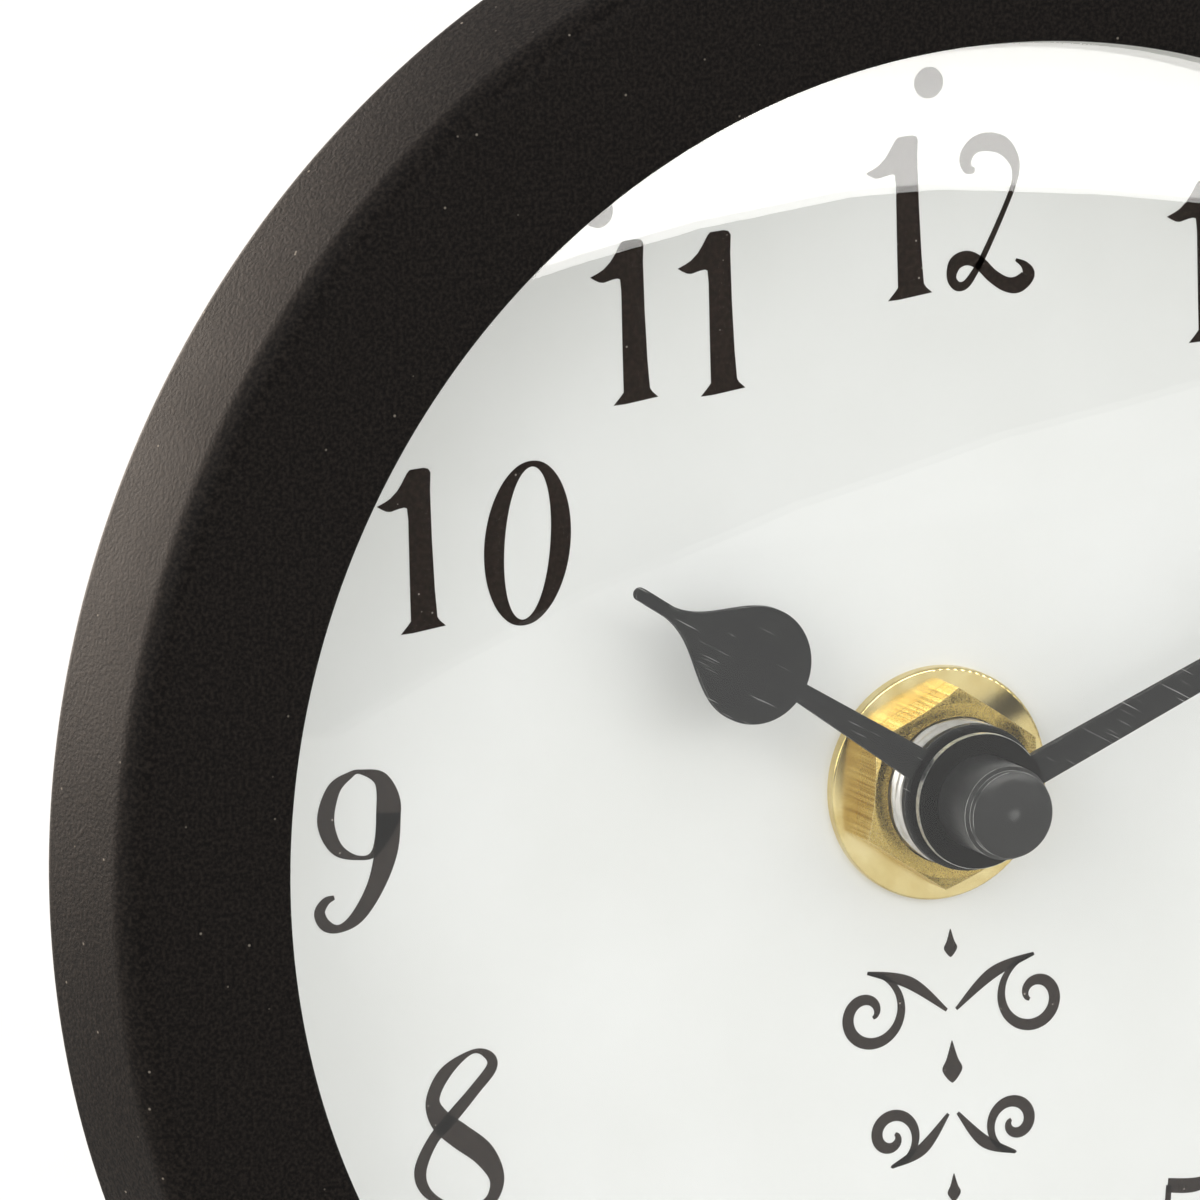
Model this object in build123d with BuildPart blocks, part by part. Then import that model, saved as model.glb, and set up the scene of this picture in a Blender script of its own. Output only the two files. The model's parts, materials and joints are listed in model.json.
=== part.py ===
from build123d import *
from math import cos, pi, radians, sin
import os

# A round desk clock in black steel on a pedestal, with its quartz movement, motion work and gear train.
# Millimetres, +Z up, the dial faces -Y, origin in the middle of the base's underside.
# "Forward" is the distance towards the viewer from the dial's face; pieces behind the dial are negative.

os.makedirs("parts", exist_ok=True)

# Case, read from the photograph against the brass washer
RIM_RADIUS = 66.35
RIM_BACK = 3.0
RIM_ROUND = 0.7
CREASE_INSET = 2.3
CREASE_ROUND = 2.2
FRONT_WIDTH = 11.85
LIP_FORWARD = 11.7
LIP_ROUND = 0.35
SHEET = 1.0
HEM_WIDTH = 5.2
HEM_GAP = 0.6
FLANGE_GAP = 0.9
BOWL_ROUND = 15.5
BOWL_BEND = -2.5
OPENING_PLAY = 2.5
OPENING_ROUND = 6.0
DIAL_SETBACK = -7.0
RIM_RISE = 10.65

# Dial, glass and the rings that hold them
DIAL_THICK = 0.8
DIAL_GAP = 0.7
SEAT_THICK = 1.2
SEAT_WIDTH = 8.8
GASKET_THICK = 0.5
GLASS_THICK = 2.0
GLASS_FLANGE = 4.0
GLASS_RISE = 6.3
GLASS_SETBACK = 0.8
SPACER_SETBACK = 0.3
SPACER_WALL = 1.4
SPACER_INSET = 0.2

# Hands and their fixing
WASHER_RADIUS = 8.0
WASHER_THICK = 0.8
WASHER_ROUND = 0.2
STEM_GASKET_RADIUS = 9.0
NUT_FLATS = 12.0
NUT_THICK = 2.5
NUT_TURN = 5.0
NUT_CHAMFER = 0.55
STEM_RADIUS = 5.0
STEM_FRONT = 4.6
STEM_FLANGE = 6.6
STEM_FLANGE_THICK = 0.8
PIPE_RADIUS = 2.5
PIPE_FRONT = 6.2
ARBOR_RADIUS = 1.6
ARBOR_FRONT = 9.5
RUN = 0.06
HOLE_PLAY = 0.15
HAND_THICK = 0.5
HOUR_TURN = -55.8
HOUR_BACK = 5.3
HOUR_HUB = 5.0
HOUR_ROOT = 1.35
HOUR_NECK = 0.5
HOUR_BULB = 4.0
HOUR_BULB_AT = 19.0
HOUR_REACH = 29.5
HOUR_TIP = 0.45
HOUR_COLLET = 3.2
MINUTE_TURN = 67.5
MINUTE_BACK = 6.7
MINUTE_HUB = 4.6
MINUTE_ROOT = 1.15
MINUTE_NECK = 0.85
MINUTE_BULB = 3.2
MINUTE_BULB_AT = 31.0
MINUTE_REACH = 44.5
MINUTE_TIP = 0.4
CAP_RADIUS = 3.2
CAP_FRONT = 12.3
CAP_COLLAR = 1.0
CAP_DOME = 0.25

# Outline of a spade, in shares of its bulb and of the stretch from bulb to tip
SPADE_LEAN = 25.0
SPADE_FLARE_RATIO = 0.6
SPADE_GATHER_RATIO = 0.18
SPADE_SHOULDER_RATIO = 1.25
SPADE_SLIM_RATIO = 0.72

# Movement housing, train plate and setting knob
MOVEMENT_HEIGHT = 56.0
MOVEMENT_FRONT = -1.8
MOVEMENT_BACK = -17.8
MOVEMENT_ROUND = 4.0
PLASTIC = 1.4
BAY_TOP = -11.4
PARTITION = 1.2
PILLARS = ((-13.0, -6.0), (-13.0, 15.5), (16.5, -6.0), (16.5, 15.5))
PILLAR_RADIUS = 1.5
PLATE_LEFT = -15.0
PLATE_RIGHT = 18.5
PLATE_LOW = -8.0
PLATE_HIGH = 17.5
PLATE_ROUND = 2.0
PEG_RADIUS = 1.0
PEG_INSET = 3.0
KNOB_GAP = 0.5
KNOB_LENGTH = 4.3
KNOB_RADIUS = 5.0
KNOB_FLUTES = 16
KNOB_CHAMFER = 0.25
FLUTE_RADIUS = 0.45
KNOB_GRIP = 2.2

# Stepping motor and circuit
MAGNET_RADIUS = 2.6
MAGNET_BORE = 0.9
MAGNET_GAP = 0.5
STATOR_LEFT = -6.0
STATOR_RIGHT = 17.0
STATOR_LOW = 10.0
STATOR_YOKE = 16.0
STATOR_ARM = 3.5
STATOR_ARM_LOW = 12.0
STATOR_ROUND = 1.0
COIL_UP = 22.0
CORE_HALF = 1.5
COIL_LEFT = 0.0
COIL_RIGHT = 11.0
CHEEK = 0.8
CHEEK_RADIUS = 3.05
BOBBIN_RADIUS = 1.95
WINDING_RADIUS = 2.85
BOARD_GAP = 1.3
BOARD_RIGHT = -8.0
BOARD_LOW = 13.0
BOARD_MARGIN = 1.1
CHIP_AT = (-12.5, 21.5)
CHIP_RADIUS = 2.2
CHIP_RISE = 1.0
CHIP_ROUND = 0.8
CRYSTAL_RADIUS = 1.0
CRYSTAL_LEFT = -20.0
CRYSTAL_LENGTH = 6.0
CRYSTAL_UP = 17.0

# Battery and its contacts
CELL_RADIUS = 7.1
CELL_LENGTH = 49.2
CELL_NUB = 2.75
CELL_NUB_LENGTH = 1.3
CELL_PLAY = 0.3
SPRING_ROOM = 2.25
TOUCH = 0.05
STRIP = 0.4
STRIP_SLOT = 0.7
CONTACT_INSET = 3.1
CONTACT_BACK = -14.0
CONTACT_FRONT = -7.0
TAB_LOW = 13.5
TAB_HIGH = 15.5
RETURN_BACK = -15.5
RETURN_FRONT = -12.5
RISER_INSET = 2.6
RISER_TOP = 15.0
TONGUE_HALF = 4.0

# Gear teeth: counts give the real ratios, 12 to 1 from minute to hour and 1800 to 1 from rotor to minute
CANNON_TEETH = 12
MOTION_TEETH = 36
MOTION_PINION_TEETH = 10
HOUR_TEETH = 40
SETTING_TEETH = 12
ROTOR_TEETH = 10
INTERMEDIATE_TEETH = 50
INTERMEDIATE_PINION_TEETH = 10
SECOND_TEETH = 60
SECOND_PINION_TEETH = 8
THIRD_TEETH = 60
THIRD_PINION_TEETH = 8
CENTRE_TEETH = 64
CANNON_MODULE = 0.35
CENTRE_MODULE = 0.3
SECOND_MODULE = 0.25
ROTOR_MODULE = 0.22
ADDENDUM = 0.95
DEDENDUM = 1.25
TOOTH_TIP = 0.22
TOOTH_ROOT = 0.54
PIVOT = 0.5
THICK_PIVOT = 0.6
SLEEVE = 1.0
ARBOR_BODY = 0.7
SHAFT = 1.2
CLUTCH_RADIUS = 3.2
CLUTCH_LEAF = 0.16
COLLAR_RADIUS = 2.6

# Stand
BASE_RADIUS = 42.0
BASE_TOP = 11.0
BASE_EDGE = 2.6
SHOULDER_INSET = 3.0
SHOULDER_UP = 5.4
STEP_INSET = 6.0
STEP_UP = 5.9
RING_MARGIN = 3.5
HOLLOW_SAG = 1.1
FELT = 0.8
FELT_INSET = 1.5
NECK_FOOT = 14.0
NECK_RADIUS = 9.0
NECK_FLARE = 9.0
NECK_CRADLE = 12.3
BOLT_RADIUS = 3.0
BOLT_HEAD = 5.5
BOLT_SEAT = 5.0
BOLT_DEPTH = 7.0
RECESS_RADIUS = 8.0
SCREW_RADIUS = 2.5
SCREW_HEAD = 4.5
SCREW_DEPTH = 6.7
SADDLE_RADIUS = 4.8
SADDLE_THICK = 6.8
HEAD_THICK = 2.5
HEAD_ROUND = 0.8

# Sizes and levels that follow from those above
CREASE_RADIUS = RIM_RADIUS - CREASE_INSET
LIP_RADIUS = CREASE_RADIUS - FRONT_WIDTH
HEM_RADIUS = RIM_RADIUS - HEM_WIDTH
BOWL_RADIUS = HEM_RADIUS - HEM_GAP
BOWL_INSIDE = BOWL_RADIUS - SHEET
BOWL_FLANGE = RIM_RADIUS - SHEET - FLANGE_GAP
BOWL_BACK = BOWL_BEND - BOWL_ROUND
DIAL_HEIGHT = BASE_TOP + RIM_RISE + RIM_RADIUS
DIAL_RADIUS = BOWL_INSIDE - DIAL_GAP
SEAT_BORE = BOWL_INSIDE - SEAT_WIDTH
GLASS_RIM = LIP_RADIUS + GLASS_SETBACK
GLASS_RADIUS = GLASS_RIM + GLASS_FLANGE
GLASS_SEAT = LIP_FORWARD - SHEET - GASKET_THICK - GLASS_THICK
GLASS_FACE = GLASS_SEAT + GLASS_THICK
SPACER_BORE = GLASS_RIM + SPACER_SETBACK
SPACER_FOOT = DIAL_RADIUS - SPACER_INSET
NUT_BACK = WASHER_THICK
NUT_FRONT = NUT_BACK + NUT_THICK
WALL_IN = MOVEMENT_FRONT - PLASTIC
COVER_IN = MOVEMENT_BACK + PLASTIC
INSIDE_WIDE = (STRIP + TOUCH + CELL_NUB_LENGTH + CELL_LENGTH + SPRING_ROOM) / 2
INSIDE_HIGH = MOVEMENT_HEIGHT / 2 - PLASTIC
HALF_WIDE = INSIDE_WIDE + PLASTIC
HALF_HIGH = MOVEMENT_HEIGHT / 2
OPENING_WIDE = HALF_WIDE + OPENING_PLAY
OPENING_HIGH = HALF_HIGH + OPENING_PLAY
PARTITION_TOP = BAY_TOP + PARTITION
BAY_MIDDLE = (BAY_TOP - INSIDE_HIGH) / 2
BOARD_LEFT = BOARD_GAP - INSIDE_WIDE
BOARD_HIGH = INSIDE_HIGH - BOARD_MARGIN
CONTACT_LOW = CONTACT_INSET - INSIDE_HIGH
RISER = RISER_INSET - INSIDE_WIDE
CELL_RIGHT = INSIDE_WIDE - SPRING_ROOM
CELL_LEFT = CELL_RIGHT - CELL_LENGTH
CELL_DEPTH = WALL_IN - CELL_RADIUS - CELL_PLAY
TONGUE_APEX = CELL_RIGHT + TOUCH
KNOB_FRONT = MOVEMENT_BACK - KNOB_GAP
KNOB_BACK = KNOB_FRONT - KNOB_LENGTH
SHAFT_END = KNOB_FRONT - KNOB_GRIP
FELT_RADIUS = BASE_RADIUS - FELT_INSET
BASE_SHOULDER = (BASE_RADIUS - SHOULDER_INSET, SHOULDER_UP)
BASE_STEP = (BASE_RADIUS - STEP_INSET, STEP_UP)
BASE_RING = NECK_FOOT + RING_MARGIN
NECK_WAIST = BASE_TOP + NECK_FLARE
BOWL_LOW = DIAL_HEIGHT - BOWL_RADIUS
NECK_TOP = BOWL_LOW + NECK_CRADLE
SADDLE_TOP = BOWL_LOW + SADDLE_THICK
SCREW_END = BOWL_LOW - SCREW_DEPTH
BOLT_END = BASE_TOP + BOLT_DEPTH

# Levels of the wheels, back and front of each layer
HOUR_LEVEL = (-4.8, -3.6)
CANNON_LEVEL = (-6.2, -5.2)
PLATE_LEVEL = (-7.6, -6.6)
CENTRE_LEVEL = (-8.7, -7.9)
CLUTCH_LEVEL = (-9.1, -8.7)
COLLAR_LEVEL = (-9.6, -9.1)
THIRD_LEVEL = (-10.7, -9.9)
SECOND_LEVEL = (-12.0, -11.2)
INTERMEDIATE_LEVEL = (-13.2, -12.4)
MAGNET_LEVEL = (-15.3, -13.5)
STATOR_LEVEL = (-15.0, -13.8)
CORE_LEVEL = (-13.8, -12.6)
BOARD_LEVEL = (-15.9, -14.9)
COIL_DEPTH = sum(CORE_LEVEL) / 2
TOOTH_OVERHANG = 0.1
PIVOT_END = -17.0
PIVOT_DEPTH = 0.2
PLATE_PIVOT = PLATE_LEVEL[1] - PIVOT_DEPTH
BEHIND_PLATE = PLATE_LEVEL[0] - TOOTH_OVERHANG



def centre_distance(teeth, other_teeth, module):
    return (teeth + other_teeth) * module / 2


def polar(start, distance, direction):
    a = radians(direction)
    return (start[0] + distance * cos(a), start[1] + distance * sin(a))


# Where the arbors stand on the dial plane, and the modules that the shared centre distances set
MIDDLE = (0.0, 0.0)
FORWARD = (0, -1, 0)
ACROSS = (1, 0, 0)
THIRD_DIRECTION = 131.8
MOTION_DIRECTION = 40.0
SETTING_DIRECTION = 20.0
INTERMEDIATE_DIRECTION = 70.0
ROTOR_DIRECTION = 45.0
THIRD_AWAY = centre_distance(CENTRE_TEETH, THIRD_PINION_TEETH, CENTRE_MODULE)
THIRD_MODULE = 2 * THIRD_AWAY / (THIRD_TEETH + SECOND_PINION_TEETH)
MOTION_AWAY = centre_distance(CANNON_TEETH, MOTION_TEETH, CANNON_MODULE)
HOUR_MODULE = 2 * MOTION_AWAY / (MOTION_PINION_TEETH + HOUR_TEETH)
SETTING_AWAY = centre_distance(MOTION_TEETH, SETTING_TEETH, CANNON_MODULE)
INTERMEDIATE_AWAY = centre_distance(SECOND_TEETH, INTERMEDIATE_PINION_TEETH, SECOND_MODULE)
ROTOR_AWAY = centre_distance(INTERMEDIATE_TEETH, ROTOR_TEETH, ROTOR_MODULE)
THIRD_AT = polar(MIDDLE, THIRD_AWAY, THIRD_DIRECTION)
MOTION_AT = polar(MIDDLE, MOTION_AWAY, MOTION_DIRECTION)
SETTING_AT = polar(MOTION_AT, SETTING_AWAY, SETTING_DIRECTION)
INTERMEDIATE_AT = polar(MIDDLE, INTERMEDIATE_AWAY, INTERMEDIATE_DIRECTION)
ROTOR_AT = polar(INTERMEDIATE_AT, ROTOR_AWAY, ROTOR_DIRECTION)


def meshed(teeth, phase, direction, other_teeth):
    """Phase of a wheel whose tooth gap faces a neighbour's tooth along the line of centres."""
    d = radians(direction)
    return d + pi - (pi - teeth * (d - phase)) / other_teeth


HALF_TURN = 180.0
CANNON_PHASE = 0.0
MOTION_PHASE = meshed(CANNON_TEETH, CANNON_PHASE, MOTION_DIRECTION, MOTION_TEETH)
SETTING_PHASE = meshed(MOTION_TEETH, MOTION_PHASE, SETTING_DIRECTION, SETTING_TEETH)
HOUR_PHASE = meshed(MOTION_PINION_TEETH, MOTION_PHASE, MOTION_DIRECTION + HALF_TURN, HOUR_TEETH)
ROTOR_PHASE = 0.0
INTERMEDIATE_PHASE = meshed(ROTOR_TEETH, ROTOR_PHASE, ROTOR_DIRECTION + HALF_TURN, INTERMEDIATE_TEETH)
SECOND_PHASE = meshed(
    INTERMEDIATE_PINION_TEETH, INTERMEDIATE_PHASE, INTERMEDIATE_DIRECTION + HALF_TURN, SECOND_TEETH
)
THIRD_PHASE = meshed(SECOND_PINION_TEETH, SECOND_PHASE, THIRD_DIRECTION, THIRD_TEETH)
CENTRE_PHASE = meshed(THIRD_PINION_TEETH, THIRD_PHASE, THIRD_DIRECTION + HALF_TURN, CENTRE_TEETH)


def dial_plane(forward=0.0, at=MIDDLE, turn=0.0):
    """Plane facing the viewer; its Y points `turn` degrees clockwise of twelve."""
    a = radians(turn)
    return Plane(
        origin=(at[0], DIAL_SETBACK - forward, DIAL_HEIGHT + at[1]),
        x_dir=(cos(a), 0, -sin(a)),
        z_dir=FORWARD,
    )


def radial_plane(at=MIDDLE):
    """Plane through an arbor's axis: local X is the radius, local Y is forward."""
    return Plane(origin=(at[0], DIAL_SETBACK, DIAL_HEIGHT + at[1]), x_dir=ACROSS, z_dir=(0, 0, -1))


def arbor_axis(at=MIDDLE):
    return Axis((at[0], DIAL_SETBACK, DIAL_HEIGHT + at[1]), FORWARD)


def side_plane(x, up, forward):
    """Plane across the clock's width, for pieces that lie along X."""
    return Plane(origin=(x, DIAL_SETBACK - forward, DIAL_HEIGHT + up), x_dir=(0, 1, 0), z_dir=ACROSS)


def disc(radius, back, front, at=MIDDLE, mode=Mode.ADD):
    with BuildSketch(dial_plane(back, at)) as outline:
        Circle(radius)
    extrude(outline.sketch, amount=front - back, dir=FORWARD, mode=mode)


def block(left, right, low, high, back, front, corner=0.0, mode=Mode.ADD):
    middle = ((left + right) / 2, (low + high) / 2)
    with BuildSketch(dial_plane(back, middle)) as outline:
        if corner:
            RectangleRounded(right - left, high - low, corner)
        else:
            Rectangle(right - left, high - low)
    extrude(outline.sketch, amount=front - back, dir=FORWARD, mode=mode)


def turned(points, at=MIDDLE, mode=Mode.ADD):
    """A ring or knob turned from a section given as (radius, forward) corners."""
    with BuildSketch(radial_plane(at)) as section:
        with BuildLine():
            Polyline(*points, close=True)
        make_face()
    revolve(section.sketch, axis=arbor_axis(at), mode=mode)


def bar_along_x(radius, left, right, up, forward, mode=Mode.ADD):
    with BuildSketch(side_plane(left, up, forward)) as outline:
        Circle(radius)
    extrude(outline.sketch, amount=right - left, dir=ACROSS, mode=mode)


def toothed(teeth, module, phase, level, at, overhang=0.0):
    """Straight-flanked moulded gear teeth between the two faces of a level."""
    pitch = 2 * pi / teeth
    root = module * (teeth / 2 - DEDENDUM)
    tip = module * (teeth / 2 + ADDENDUM)
    points = []
    for tooth in range(teeth):
        middle = phase + tooth * pitch
        corners = ((root, -TOOTH_ROOT), (tip, -TOOTH_TIP), (tip, TOOTH_TIP), (root, TOOTH_ROOT))
        for radius, share in corners:
            angle = middle + share * pitch / 2
            points.append((radius * cos(angle), radius * sin(angle)))
    back = level[0] - overhang
    with BuildSketch(dial_plane(back, at)) as outline:
        with BuildLine():
            Polyline(*points, close=True)
        make_face()
    extrude(outline.sketch, amount=level[1] + overhang - back, dir=FORWARD)


def half_drop(radius, rise):
    """How far a dome of this radius and rise has dropped halfway out from its apex."""
    sphere = (radius**2 + rise**2) / (2 * rise)
    return sphere - (sphere**2 - (radius / 2) ** 2) ** 0.5


def finish(builder, name):
    builder.part.label = name
    export_step(builder.part, f"parts/{name}.step")


def revolve_bowl(inset, mode=Mode.ADD):
    """The bowl's round form from its axis out to the sheet, set in from the outside by `inset`."""
    bend = BOWL_RADIUS - BOWL_ROUND
    reach = BOWL_ROUND - inset
    slant = reach * sin(pi / 4)
    front = RIM_BACK + 2 * SHEET
    with BuildSketch(radial_plane()) as section:
        with BuildLine():
            Line((0, front), (bend + reach, front))
            Line((bend + reach, front), (bend + reach, BOWL_BEND))
            ThreePointArc(
                (bend + reach, BOWL_BEND), (bend + slant, BOWL_BEND - slant), (bend, BOWL_BEND - reach)
            )
            Line((bend, BOWL_BEND - reach), (0, BOWL_BEND - reach))
            Line((0, BOWL_BEND - reach), (0, front))
        make_face()
    revolve(section.sketch, axis=arbor_axis(), mode=mode)


# Front bezel: one pressed steel ring with a flat front, a rounded shoulder and a hem rolled behind the bowl
with BuildPart() as bezel:
    under = LIP_FORWARD - SHEET
    with BuildSketch(radial_plane()) as bezel_section:
        with BuildLine():
            Polyline(
                (LIP_RADIUS, under),
                (LIP_RADIUS, LIP_FORWARD),
                (CREASE_RADIUS, LIP_FORWARD),
                (RIM_RADIUS, RIM_BACK),
                (HEM_RADIUS, RIM_BACK),
                (HEM_RADIUS, RIM_BACK + SHEET),
                (RIM_RADIUS - SHEET, RIM_BACK + SHEET),
                (CREASE_RADIUS - SHEET, under),
                close=True,
            )
        make_face()
        for corner, bend in (
            ((CREASE_RADIUS, LIP_FORWARD), CREASE_ROUND),
            ((CREASE_RADIUS - SHEET, under), CREASE_ROUND - SHEET),
            ((RIM_RADIUS, RIM_BACK), RIM_ROUND),
            ((LIP_RADIUS, LIP_FORWARD), LIP_ROUND),
        ):
            fillet(bezel_section.vertices().sort_by_distance((*corner, 0))[0], bend)
    revolve(axis=arbor_axis())
finish(bezel, "bezel")

# Case bowl: spun steel, a flange under the bezel's hem and a square opening behind for the movement
with BuildPart() as case_bowl:
    revolve_bowl(0)
    revolve_bowl(SHEET, Mode.SUBTRACT)
    turned(
        [
            (BOWL_INSIDE, RIM_BACK + SHEET),
            (BOWL_FLANGE, RIM_BACK + SHEET),
            (BOWL_FLANGE, RIM_BACK + 2 * SHEET),
            (BOWL_INSIDE, RIM_BACK + 2 * SHEET),
        ]
    )
    block(
        -OPENING_WIDE, OPENING_WIDE, -OPENING_HIGH, OPENING_HIGH,
        BOWL_BACK - SHEET, BOWL_BACK + 2 * SHEET, OPENING_ROUND, Mode.SUBTRACT,
    )
    with BuildSketch(Plane.XY.offset(BASE_TOP)):
        Circle(SCREW_RADIUS + HOLE_PLAY)
    extrude(amount=SADDLE_TOP - BASE_TOP, mode=Mode.SUBTRACT)
finish(case_bowl, "case_bowl")

# Dial seat: flat steel ring welded inside the bowl, on which the dial rests
with BuildPart() as dial_seat:
    disc(BOWL_INSIDE - RUN, -DIAL_THICK - SEAT_THICK, -DIAL_THICK)
    disc(SEAT_BORE, -DIAL_THICK - SEAT_THICK, -DIAL_THICK, mode=Mode.SUBTRACT)
finish(dial_seat, "dial_seat")

# Dial: sheet aluminium disc with a hole for the stem
with BuildPart() as dial:
    disc(DIAL_RADIUS, -DIAL_THICK, 0)
    disc(STEM_RADIUS + HOLE_PLAY, -DIAL_THICK, 0, mode=Mode.SUBTRACT)
finish(dial, "dial")

# Spacer ring: white moulded channel between dial and glass
with BuildPart() as spacer_ring:
    outside = SPACER_BORE + SPACER_WALL
    turned(
        [
            (SPACER_BORE, 0),
            (SPACER_FOOT, 0),
            (SPACER_FOOT, SPACER_WALL),
            (outside, SPACER_WALL),
            (outside, GLASS_SEAT - SPACER_WALL),
            (GLASS_RADIUS, GLASS_SEAT - SPACER_WALL),
            (GLASS_RADIUS, GLASS_SEAT),
            (SPACER_BORE, GLASS_SEAT),
        ]
    )
finish(spacer_ring, "spacer_ring")

# Glass: pressed dome of even thickness with a flat ground rim
with BuildPart() as glass:
    halfway = GLASS_RIM / 2
    drop = half_drop(GLASS_RIM, GLASS_RISE)
    apex = GLASS_FACE + GLASS_RISE
    apex_in = GLASS_SEAT + GLASS_RISE
    with BuildSketch(radial_plane()):
        with BuildLine():
            ThreePointArc((0, apex), (halfway, apex - drop), (GLASS_RIM, GLASS_FACE))
            Polyline(
                (GLASS_RIM, GLASS_FACE),
                (GLASS_RADIUS, GLASS_FACE),
                (GLASS_RADIUS, GLASS_SEAT),
                (GLASS_RIM, GLASS_SEAT),
            )
            ThreePointArc((GLASS_RIM, GLASS_SEAT), (halfway, apex_in - drop), (0, apex_in))
            Line((0, apex_in), (0, apex))
        make_face()
    revolve(axis=arbor_axis())
finish(glass, "glass")

# Glass gasket: flat black ring between the glass and the underside of the lip
with BuildPart() as glass_gasket:
    disc(GLASS_RADIUS, GLASS_FACE, GLASS_FACE + GASKET_THICK)
    disc(GLASS_RIM, GLASS_FACE, GLASS_FACE + GASKET_THICK, mode=Mode.SUBTRACT)
finish(glass_gasket, "glass_gasket")

# Stem bush: nickelled brass tube with an M10 outside, pressed into the movement's front wall
with BuildPart() as stem_bush:
    disc(STEM_RADIUS, WALL_IN, STEM_FRONT)
    disc(STEM_FLANGE, MOVEMENT_FRONT - STEM_FLANGE_THICK, MOVEMENT_FRONT)
    disc(PIPE_RADIUS + RUN, WALL_IN, STEM_FRONT, mode=Mode.SUBTRACT)
finish(stem_bush, "stem_bush")

# Stem gasket: rubber washer that spaces the movement off the back of the dial
with BuildPart() as stem_gasket:
    disc(STEM_GASKET_RADIUS, MOVEMENT_FRONT, -DIAL_THICK)
    disc(STEM_RADIUS + HOLE_PLAY, MOVEMENT_FRONT, -DIAL_THICK, mode=Mode.SUBTRACT)
finish(stem_gasket, "stem_gasket")

# Dial washer and hexagon nut: brass, they clamp the dial between themselves and the movement
with BuildPart() as dial_washer:
    disc(WASHER_RADIUS, 0, WASHER_THICK)
    disc(STEM_RADIUS + HOLE_PLAY, 0, WASHER_THICK, mode=Mode.SUBTRACT)
    fillet(dial_washer.edges().group_by(Axis.Y)[0].sort_by(SortBy.RADIUS)[-1], WASHER_ROUND)
finish(dial_washer, "dial_washer")

with BuildPart() as dial_nut:
    with BuildSketch(dial_plane(NUT_BACK, turn=NUT_TURN)):
        RegularPolygon(NUT_FLATS / 2, 6, major_radius=False, rotation=30)
        Circle(STEM_RADIUS + RUN, mode=Mode.SUBTRACT)
    extrude(amount=NUT_THICK)
    flat = NUT_FLATS / 2
    corner = flat / cos(pi / 6)
    turned(
        [
            (0, NUT_BACK),
            (corner, NUT_BACK),
            (corner, NUT_FRONT - NUT_CHAMFER),
            (flat, NUT_FRONT),
            (0, NUT_FRONT),
        ],
        mode=Mode.INTERSECT,
    )
finish(dial_nut, "dial_nut")


def spade_hand(back, turn, hub, bore, root, neck, bulb, bulb_at, reach, tip):
    """A flat pressed spade hand: hub disc, tapering arm, round bulb drawn out to a thin tip."""
    lean = radians(SPADE_LEAN)
    side = (bulb * cos(lean), bulb_at + bulb * sin(lean))
    flare = bulb * SPADE_FLARE_RATIO
    leave = (side[0] - flare * sin(lean), side[1] + flare * cos(lean))
    gather = (bulb * SPADE_GATHER_RATIO, bulb_at + bulb * SPADE_SHOULDER_RATIO)
    slim = (tip, bulb_at + (reach - bulb_at) * SPADE_SLIM_RATIO)
    end = reach - tip
    with BuildSketch(dial_plane(back, turn=turn)) as outline:
        Circle(hub)
        with BuildLine():
            Polyline((-root, 0), (root, 0), (neck, bulb_at), (-neck, bulb_at), close=True)
        make_face()
        with Locations((0, bulb_at)):
            Circle(bulb)
        with BuildLine():
            Bezier(side, leave, gather, slim)
            Line(slim, (tip, end))
            Line((tip, end), (-tip, end))
            Line((-tip, end), (-slim[0], slim[1]))
            Bezier((-slim[0], slim[1]), (-gather[0], gather[1]), (-leave[0], leave[1]), (-side[0], side[1]))
            Line((-side[0], side[1]), side)
        make_face()
        with Locations((0, end)):
            Circle(tip)
        Circle(bore, mode=Mode.SUBTRACT)
    extrude(outline.sketch, amount=HAND_THICK, dir=FORWARD)


# Hour hand on its collet, pressed on the hour wheel's pipe
with BuildPart() as hour_hand:
    spade_hand(
        HOUR_BACK, HOUR_TURN, HOUR_HUB, PIPE_RADIUS, HOUR_ROOT, HOUR_NECK,
        HOUR_BULB, HOUR_BULB_AT, HOUR_REACH, HOUR_TIP,
    )
    disc(HOUR_COLLET, HOUR_BACK - HAND_THICK, HOUR_BACK)
    disc(PIPE_RADIUS, HOUR_BACK - HAND_THICK, HOUR_BACK + HAND_THICK, mode=Mode.SUBTRACT)
finish(hour_hand, "hour_hand")

# Minute hand, clamped on the minute arbor by the cap
with BuildPart() as minute_hand:
    spade_hand(
        MINUTE_BACK, MINUTE_TURN, MINUTE_HUB, ARBOR_RADIUS, MINUTE_ROOT, MINUTE_NECK,
        MINUTE_BULB, MINUTE_BULB_AT, MINUTE_REACH, MINUTE_TIP,
    )
finish(minute_hand, "minute_hand")

# Hand cap: turned black cap nut with a stepped collar and a slightly domed face
with BuildPart() as hand_cap:
    cap_back = MINUTE_BACK + HAND_THICK
    face = CAP_RADIUS - CAP_DOME
    step = CAP_FRONT - CAP_COLLAR
    with BuildSketch(radial_plane()):
        with BuildLine():
            Polyline(
                (0, cap_back),
                (CAP_RADIUS, cap_back),
                (CAP_RADIUS, step),
                (face, step + CAP_DOME),
                (face, CAP_FRONT - CAP_DOME),
            )
            drop = half_drop(face, CAP_DOME)
            ThreePointArc((face, CAP_FRONT - CAP_DOME), (face / 2, CAP_FRONT - drop), (0, CAP_FRONT))
            Line((0, CAP_FRONT), (0, cap_back))
        make_face()
    revolve(axis=arbor_axis())
    disc(ARBOR_RADIUS, cap_back, ARBOR_FRONT + RUN, mode=Mode.SUBTRACT)
finish(hand_cap, "hand_cap")

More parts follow.
